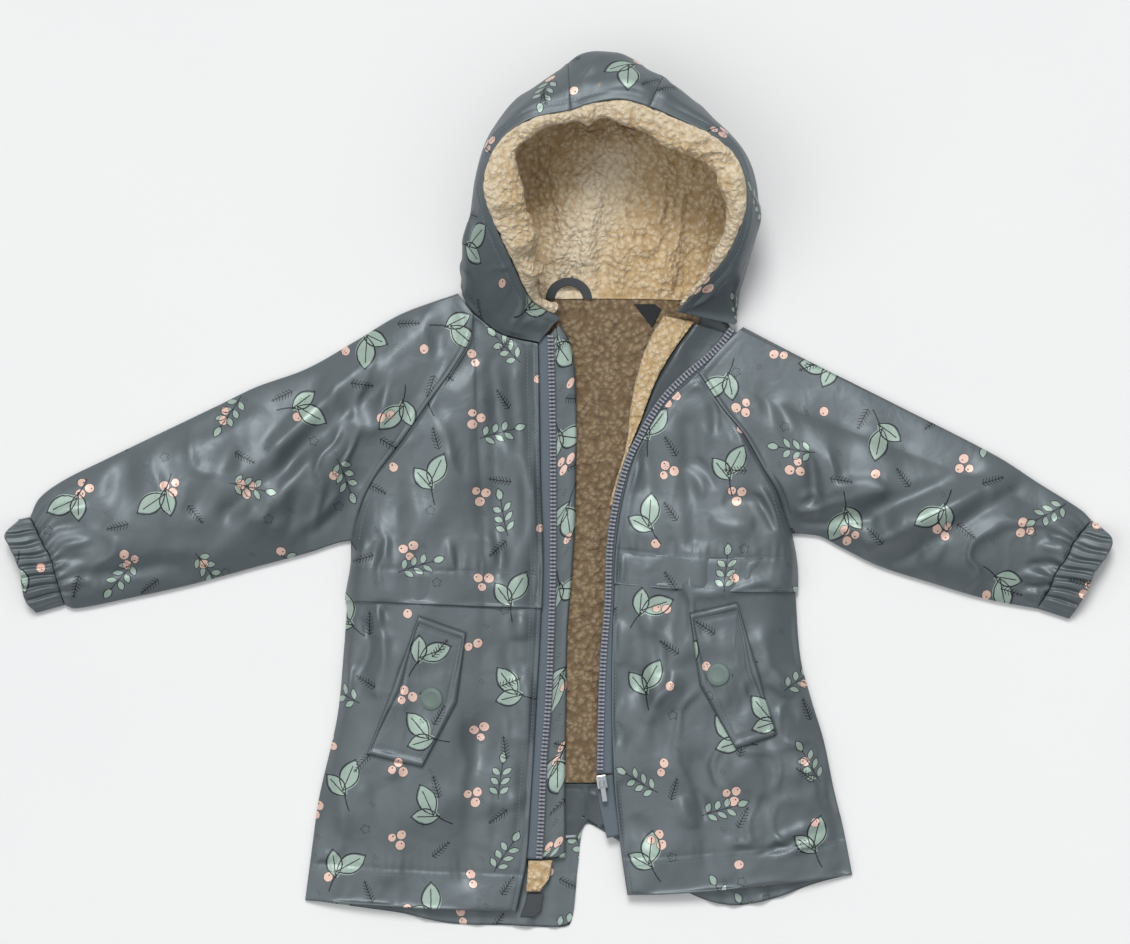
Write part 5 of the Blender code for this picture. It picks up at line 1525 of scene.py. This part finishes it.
def chain_line(chain, level, side, start):
    """A chain's length, and its place, run, outward direction and height at a distance."""
    fine = smooth(chain)(np.linspace(start, 1.0, 800))
    reach = arc(fine[:, :2], 0)

    def at(distance):
        place, ahead, behind = (place_at(distance + step, reach, fine) for step in (0, 1.5, -1.5))
        run = unit(ahead - behind)
        under = np.stack((-run[..., 1], run[..., 0]), -1) * side
        y = place[..., 1]
        return place, run, under, tape_top(level(y)) + 0.25 * np.sin(y / 13) * np.sin(y / 31)

    return reach[-1], at


def make_tape(name, chain, level, side, teeth=True, start=0.0):
    """A zip tape under its front, and the teeth along its edge."""
    long, at = chain_line(chain, level, side, start)
    place, run, under, height = at(np.linspace(0, long, int(long / 2.2)))
    across = np.array((-BEAD_WIDTH / 2 - 0.6, -1.8, -0.6, 0.6, 1.8, 3.0, 4.6, 6.2, 8.0,
                       BEAD_WIDTH / 2 + TAPE_HIDDEN))
    points = np.empty((len(place), len(across), 3))
    points[..., :2] = place[:, None] + under[:, None] * across[None, :, None]
    points[..., 2] = height[:, None]
    plan = np.stack((np.broadcast_to(across, points.shape[:2]),
                     np.broadcast_to(np.linspace(0, long, len(place))[:, None], points.shape[:2])), -1)
    sewn(name + "_cloth", points, plan, zip_tape, "zip_tape", name, "back_lining", wall=TAPE)
    if not teeth:
        return
    parts = []
    for distance in np.arange(1.5, long - 1, TOOTH_PITCH):
        place, run, under, height = (np.asarray(v) for v in at(np.array(distance)))
        rings = []
        for row in TOOTH:
            middle = np.append(place + under * row.across, height)
            along = np.append(run, 0.0) * row.half
            top, shoulder = row.height, row.height * 0.72
            rings.append([middle + along + (0, 0, 0.05), middle + along + (0, 0, shoulder),
                          middle + along * 0.6 + (0, 0, top), middle - along * 0.6 + (0, 0, top),
                          middle - along + (0, 0, shoulder), middle - along + (0, 0, 0.05)])
        parts.append(sweep(rings))
    row = merged(name + "_teeth", parts, teeth_look)
    row.data.shade_flat()
    dress(row, "zip_tape")


# ---------------------------------------------------------------- flat trims: plates in rings
def ringed(outline, pitch, height):
    """A star-shaped sheet as rings round its middle; height(x, y, inset) gives z, inset in mm."""
    outline = np.array(outline, float)
    middle = outline.mean(0)
    edge = []
    for first, second in zip(outline, np.roll(outline, -1, axis=0)):
        steps = max(int(np.linalg.norm(second - first) / pitch), 2)
        edge += [first + (second - first) * k / steps for k in range(steps)]
    edge = np.array(edge)
    reach = np.linalg.norm(edge - middle, axis=1).mean()
    near = np.array((0, 0.5, 1.1, 1.8, 2.6, 3.5, 4.6, 6.0, 8.0)) / reach
    near = near[near < 0.6]
    inner = np.arange(1 - near[-1] - pitch / reach, 0.02, -pitch / reach)
    shares = np.concatenate((1 - near, inner, [0.012]))
    rings = middle + (edge - middle) * shares[:, None, None]
    inset = (1 - shares)[:, None] * np.linalg.norm(edge - middle, axis=1) * 0.92
    x, y = rings[..., 0], rings[..., 1]
    return np.stack((x, y, height(x, y, inset)), -1)


def plate(name, node, outline, height, look, slot, thickness, pitch=1.6, marks=False):
    """A flat trim cut to its outline, with its face at height(x, y, inset); marks gives it pile."""
    points = ringed(outline, pitch, height)
    depth = None
    if marks:
        points, depth = nap(points, UP, 0.8)
        depth = closed_ring(depth)
    plan = closed_ring(points)[..., :2]
    piece = thicken(grid(name, points, plan, look, closed=True, marks=depth), thickness)
    dress(piece, slot, node)
    return piece


def make_trims():
    """Hem facing, label, patch and tab."""
    def facing(x, y, inset):
        return (BACK_CLOTH + GAP + 1.4 + 0.5 * rumple(1.5 * x, 1.5 * y, 31) * ease(inset / 5)
                - roll(inset, 0.7) + groove(inset - 4, 1.2, 0.3))

    def label(x, y, inset):
        return (BACK_CLOTH + 2 * GAP + PILE + 1.0 + 0.3 * np.sin(x / 5) - roll(inset, 0.5)
                + groove(inset - 1.6, 0.7, 0.2))

    def patch_face(x, y, inset):
        return ZIP_PATCH_HEIGHT - 0.9 - roll(inset, 2.2)

    def tab(x, y, inset):
        return HEM_TAB_HEIGHT - roll(inset, 0.8) + groove(inset - 2, 0.8, 0.25)

    plate("hem_facing_cloth", "hem_facing", HEM_FACING, facing, dark_cloth, "dark_cloth", 1.2)
    plate("neck_label_cloth", "neck_label", LABEL, label, label_look, "label", 0.7, 1.2)
    plate("zip_patch_pile", "zip_patch", ZIP_PATCH, patch_face, pile, "pile", 1.6, 1.3, marks=True)
    plate("hem_tab_cloth", "hem_tab", HEM_TAB, tab, loop_tape, "zip_tape", 1.2, 1.3)


FLAP_RIM = 7.0          # the turned edge of a flap, beside its topstitch


def make_flap(side, outline, tree, seed):
    """A pocket flap that lies on its front, with a padded, stitched rim."""
    rise = FLAP_GAP + FLAP_CLOTH

    def height(x, y, inset):
        base = np.zeros(x.shape)
        for place in np.ndindex(x.shape):
            base[place] = drop(tree, x[place], y[place])[0][2]
        base = smoothed(base)
        puff = 1.3 * np.exp(-((inset - 3.4) / 2.6) ** 2) + groove(inset - FLAP_RIM, 1.5, 1.0)
        return (base + rise + puff - roll(inset, 2.4)
                + 0.5 * rumple(x * 1.2, y * 1.2, seed) * ease(inset / 9))

    node = "pocket_flap_" + side
    return plate(node + "_cloth", node, outline, height, cloth, "cloth",
                 2.4, 2.0)


def smoothed(values, rounds=5):
    """Soften a grid of heights round its rings, so a stiff flap bridges small creases."""
    for _ in range(rounds):
        values = (values * 2 + np.roll(values, 1, axis=1) + np.roll(values, -1, axis=1)) / 4
    return values


def make_snap(side, place, tree):
    """A lacquered cap: a turned profile with a rolled rim and a dished face."""
    spot, normal = drop(tree, *place)
    profile = ((0.02, 1.9), (3.0, 2.0), (5.2, 2.2), (6.0, 2.5), (6.6, 2.6), (7.2, 2.5), (7.8, 2.15),
               (8.6, 2.1), (9.3, 1.8), (9.8, 1.2), (SNAP_RADIUS, 0.5), (SNAP_RADIUS, -0.3), (9.0, -0.9))
    turn = Vector(normal).to_track_quat("Z", "Y").to_matrix()
    angles = np.linspace(0, 2 * np.pi, 72, endpoint=False)
    points = np.array([[spot + np.array(turn @ Vector((r * math.cos(a), r * math.sin(a), h)))
                        for a in angles] for r, h in profile])
    plan = closed_ring(points)[..., :2]
    cap = grid("snap_" + side + "_cap", points, plan, snap_look, closed=True)
    return dress(cap, "snap_cap", "snap_" + side)


def make_loop():
    """The hanger loop: ribbed tape bent into a half ring."""
    low = BACK_CLOTH + PILE + 1.9
    angles = np.linspace(0, np.pi, 120)
    ribs = np.linspace(-LOOP_WIDTH / 2, LOOP_WIDTH / 2, 13)
    points = np.empty((len(angles), len(ribs), 3))
    for i, angle in enumerate(angles):
        radius = LOOP_RADIUS + ribs
        points[i, :, 0] = LOOP_CENTRE[0] + np.cos(angle) * radius
        points[i, :, 1] = LOOP_CENTRE[1] + 0.92 * np.sin(angle) * radius
        points[i, :, 2] = (low + LOOP_CLOTH + 1.2 * math.sin(angle)
                           + 0.22 * np.cos(np.arange(len(ribs)) * np.pi) + 0.12 * math.sin(angle * 60))
    plan = np.stack(np.broadcast_arrays(ribs, (angles * LOOP_RADIUS)[:, None]), -1)
    loop = thicken(grid("hanger_loop_tape", points, plan, loop_tape), LOOP_CLOTH)
    dress(loop, "loop_tape", "hanger_loop")


# ---------------------------------------------------------------- topstitching
HEM_LINES = (((-215, -326), (-160, -330), (-102, -332.5), (-40, -335)),
             ((58, -323), (94, -320), (138, -317), (183, -312), (246, -304)))
YOKE_LINES = (((-180, -64.5), (-128, -67), (-78, -69), (-17, -70.5)),
              ((50, -50.5), (77, -53), (128, -56), (200, -57)))


def thread(name, tree, *lines):
    """One piece of all the stitches that lie on the same cloth."""
    row = merged(name, [part for line in lines for part in seam_line(line, tree)], thread_look)
    dress(row, "cloth")


def inner_line(outline, inset):
    """A closed line inside an outline."""
    outline = np.array(outline, float)
    middle = outline.mean(0)
    away = np.linalg.norm(outline - middle, axis=1)[:, None]
    line = middle + (outline - middle) * (1 - inset / (0.92 * away))
    return [tuple(row) for row in np.concatenate((line, line[:1]))]


def straight(rows):
    """A polygon's sides with extra points, so that a smooth curve keeps its corners."""
    rows = np.array(rows, float)
    made = [rows[0]]
    for first, second in zip(rows, rows[1:]):
        made += [first + (second - first) * share for share in (0.04, 0.35, 0.65, 0.96, 1.0)]
    return [tuple(row) for row in made]


def make_stitches():
    """Topstitching of the fronts, hood, flaps and wrists."""
    body = surface_of(yoke_left, yoke_right, lower_left, lower_right)
    arms = surface_of(sleeve_left, sleeve_right)
    shell = surface_of(*hood)
    thread("stitches_fronts", body, *HEM_LINES, *YOKE_LINES,
           beside(LEFT_OPENING, -OPENING_STITCHES[0]), beside(LEFT_OPENING, -OPENING_STITCHES[1]),
           beside(RIGHT_OPENING, OPENING_STITCHES[0]), beside(LEFT_RAGLAN, 5.5), beside(RIGHT_RAGLAN, -5.5),
           beside(LEFT_YOKE_EDGE, 3.0), beside(RIGHT_YOKE_EDGE, 3.0))
    thread("stitches_hood", shell, *hood_stitches())
    flaps = surface_of(flap_left, flap_right)
    thread("stitches_flaps", flaps, straight(inner_line(FLAP_LEFT, FLAP_RIM)),
           straight(inner_line(FLAP_RIGHT, FLAP_RIM)))
    thread("stitches_arms", arms, beside(SLEEVE_LEFT_WRIST, 4.0), beside(SLEEVE_RIGHT_WRIST, -4.0))


def hood_stitches():
    """Lines beside the crown's seams and along the brim, seen from above."""
    down = np.linspace(0.01, 0.42, 30)
    for along in (LEFT_CROWN_SEAM - 0.006, RIGHT_CROWN_SEAM + 0.006):
        yield [tuple(row[:2]) for row in hood_surface(along, down)]
    along = np.linspace(0.02, 0.98, 90)
    edge = hood_surface(along, 0.0)
    run = hood_surface(along, 0.05) - edge
    brim = edge + unit(run) * BRIM_STITCH
    yield [tuple(row[:2]) for row in brim]


# ---------------------------------------------------------------- the parka, dressed
thread_look = hard("thread", "7c8790", 0.7, 0.0, 2400.0, 0.05)
cloth = coated("cloth", "5b6468", "677074", with_print=True)
dark_cloth = coated("dark_cloth", "434b4e", "4c5458", shine=0.34)
pile = pile_look("pile", "a98658", "cbaf84", "d6c09a", "ecdfc6")
# Painted shade: a darker copy of the hood's pile, for the body lining that lies in the fronts' shade
painted_shade_pile = pile_look("painted_shade_pile", "5a4733", "7f6b52", "8f7a5f", "ad9b7f")
zip_tape = woven("zip_tape", "6c7781", "525c65", 0.9)
teeth_look = hard("teeth", "96969f", 0.42)
snap_look = hard("snap_cap", "677772", 0.55)
metal = hard("zip_metal", "b8bcc0", 0.32, 0.9)
loop_tape = woven("loop_tape", "53585c", "2e3235", 1.1)
label_look = woven("label", "26292c", "1a1c1f", 0.7)

left_front = front_surface(LEFT_NECK, LEFT_RAGLAN, LEFT_SIDE, LEFT_OPENING, LEFT_HEM, 0.22)
right_front = front_surface(RIGHT_NECK, RIGHT_RAGLAN, RIGHT_SIDE, RIGHT_OPENING, RIGHT_HEM, 0.02)
make_back()
make_back_lining()
yoke_left, lower_left = make_front("left", left_front, LEFT_YOKE_EDGE, 1.0, 11)
yoke_right, lower_right = make_front("right", right_front, RIGHT_YOKE_EDGE, -1.0, 12)
sleeve_left = make_sleeve("left", SLEEVE_LEFT_UPPER, SLEEVE_LEFT_LOWER, SLEEVE_LEFT_WRIST, SLEEVE_LEFT_NECK,
                          LEFT_RAGLAN, 13)
sleeve_right = make_sleeve("right", SLEEVE_RIGHT_UPPER, SLEEVE_RIGHT_LOWER, SLEEVE_RIGHT_WRIST,
                           SLEEVE_RIGHT_NECK, RIGHT_RAGLAN, 14)
make_cuff("left", SLEEVE_LEFT_WRIST, CUFF_LEFT_END, 15)
make_cuff("right", SLEEVE_RIGHT_WRIST, CUFF_RIGHT_END, 16)
hood = make_hood()
make_hood_lining()
make_facings()
make_tape("zip_tape_left", CHAIN_LEFT, left_level, -1)
make_tape("zip_tape_right", CHAIN_RIGHT, right_level, 1)
make_tape("zip_tape_tail", TAPE_RIGHT_TAIL, right_level, 1, teeth=False, start=0.035)
make_trims()
fronts = surface_of(lower_left, lower_right)
flap_left = make_flap("left", FLAP_LEFT, fronts, 91)
flap_right = make_flap("right", FLAP_RIGHT, fronts, 92)
flaps = surface_of(flap_left, flap_right)
make_snap("left", SNAP_LEFT, flaps)
make_snap("right", SNAP_RIGHT, flaps)
make_loop()
make_stitches()
for node in ("zip_slider", "zip_pull"):
    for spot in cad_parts[node].material_slots:
        spot.material = metal

# ---------------------------------------------------------------- camera, floor and light
PHOTO_WIDE, PHOTO_TALL = 1130, 944      # px
PHOTO_SCALE = 0.86                      # mm of the object in one px
PHOTO_ZERO = (559.6, 491.5)             # px of the tables' zero
CAMERA_HIGH = 4.5                       # m
SCALE_HIGH = 0.02                       # m above the floor, where the scale holds
SENSOR = 36.0                           # mm
FLOOR_HALF = 3                          # m

centre = [((PHOTO_WIDE / 2 - PHOTO_ZERO[0]) * PHOTO_SCALE - ORIGIN[0]) * MM,
          ((PHOTO_ZERO[1] - PHOTO_TALL / 2) * PHOTO_SCALE - ORIGIN[1]) * MM]
camera = bpy.data.objects.new("camera", bpy.data.cameras.new("camera"))
bpy.context.scene.collection.objects.link(camera)
camera.location = (*centre, CAMERA_HIGH)
camera.data.sensor_width = SENSOR
camera.data.lens = SENSOR * (CAMERA_HIGH - SCALE_HIGH) / (PHOTO_WIDE * PHOTO_SCALE * MM)
bpy.context.scene.camera = camera

floor_mesh = bpy.data.meshes.new("floor")
corners = [(x * FLOOR_HALF, y * FLOOR_HALF, 0) for x, y in ((-1, -1), (1, -1), (1, 1), (-1, 1))]
floor_mesh.from_pydata(corners, [], [(0, 1, 2, 3)])
floor_look, floor_shader = new_look("floor", "ececec", 0.9)
tree = floor_look.node_tree
paper = noise_node(tree, object_place(tree), 3.0, 3.0)
tree.links.new(blend_colours(tree, paper, "ebebeb", "efefee"), floor_shader.inputs["Base Color"])
floor = link("floor", floor_mesh, floor_look)
floor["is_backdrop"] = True


def lamp(name, toward, strength, spread):
    """A broad distant light that shines from a direction; spread is its softness in degrees."""
    light = bpy.data.objects.new(name, bpy.data.lights.new(name, "SUN"))
    light.data.energy = strength
    light.data.angle = math.radians(spread)
    light.rotation_euler = Vector(toward).to_track_quat("Z", "Y").to_euler()
    bpy.context.scene.collection.objects.link(light)


lamp("key", (-0.12, 0.85, 1.15), 1.75, 22)
lamp("side", (-1.0, -0.3, 1.0), 0.4, 50)
world = bpy.data.worlds.new("world")
world.use_nodes = True
sky = world.node_tree
_, _, upward = axes(sky, sky.nodes.new("ShaderNodeTexCoord").outputs["Generated"])
ceiling = (upward - 0.35).high(0.0).low(0.5) * 1.3 + 0.15
background = sky.nodes["Background"]
background.inputs["Color"].default_value = colour("f4f6f8")
sky.links.new(ceiling.socket, background.inputs["Strength"])
bpy.context.scene.world = world
bpy.context.scene.view_settings.view_transform = "Standard"

plain = [[list(map(float, corner)) for corner in box] for box in (cad_box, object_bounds())]
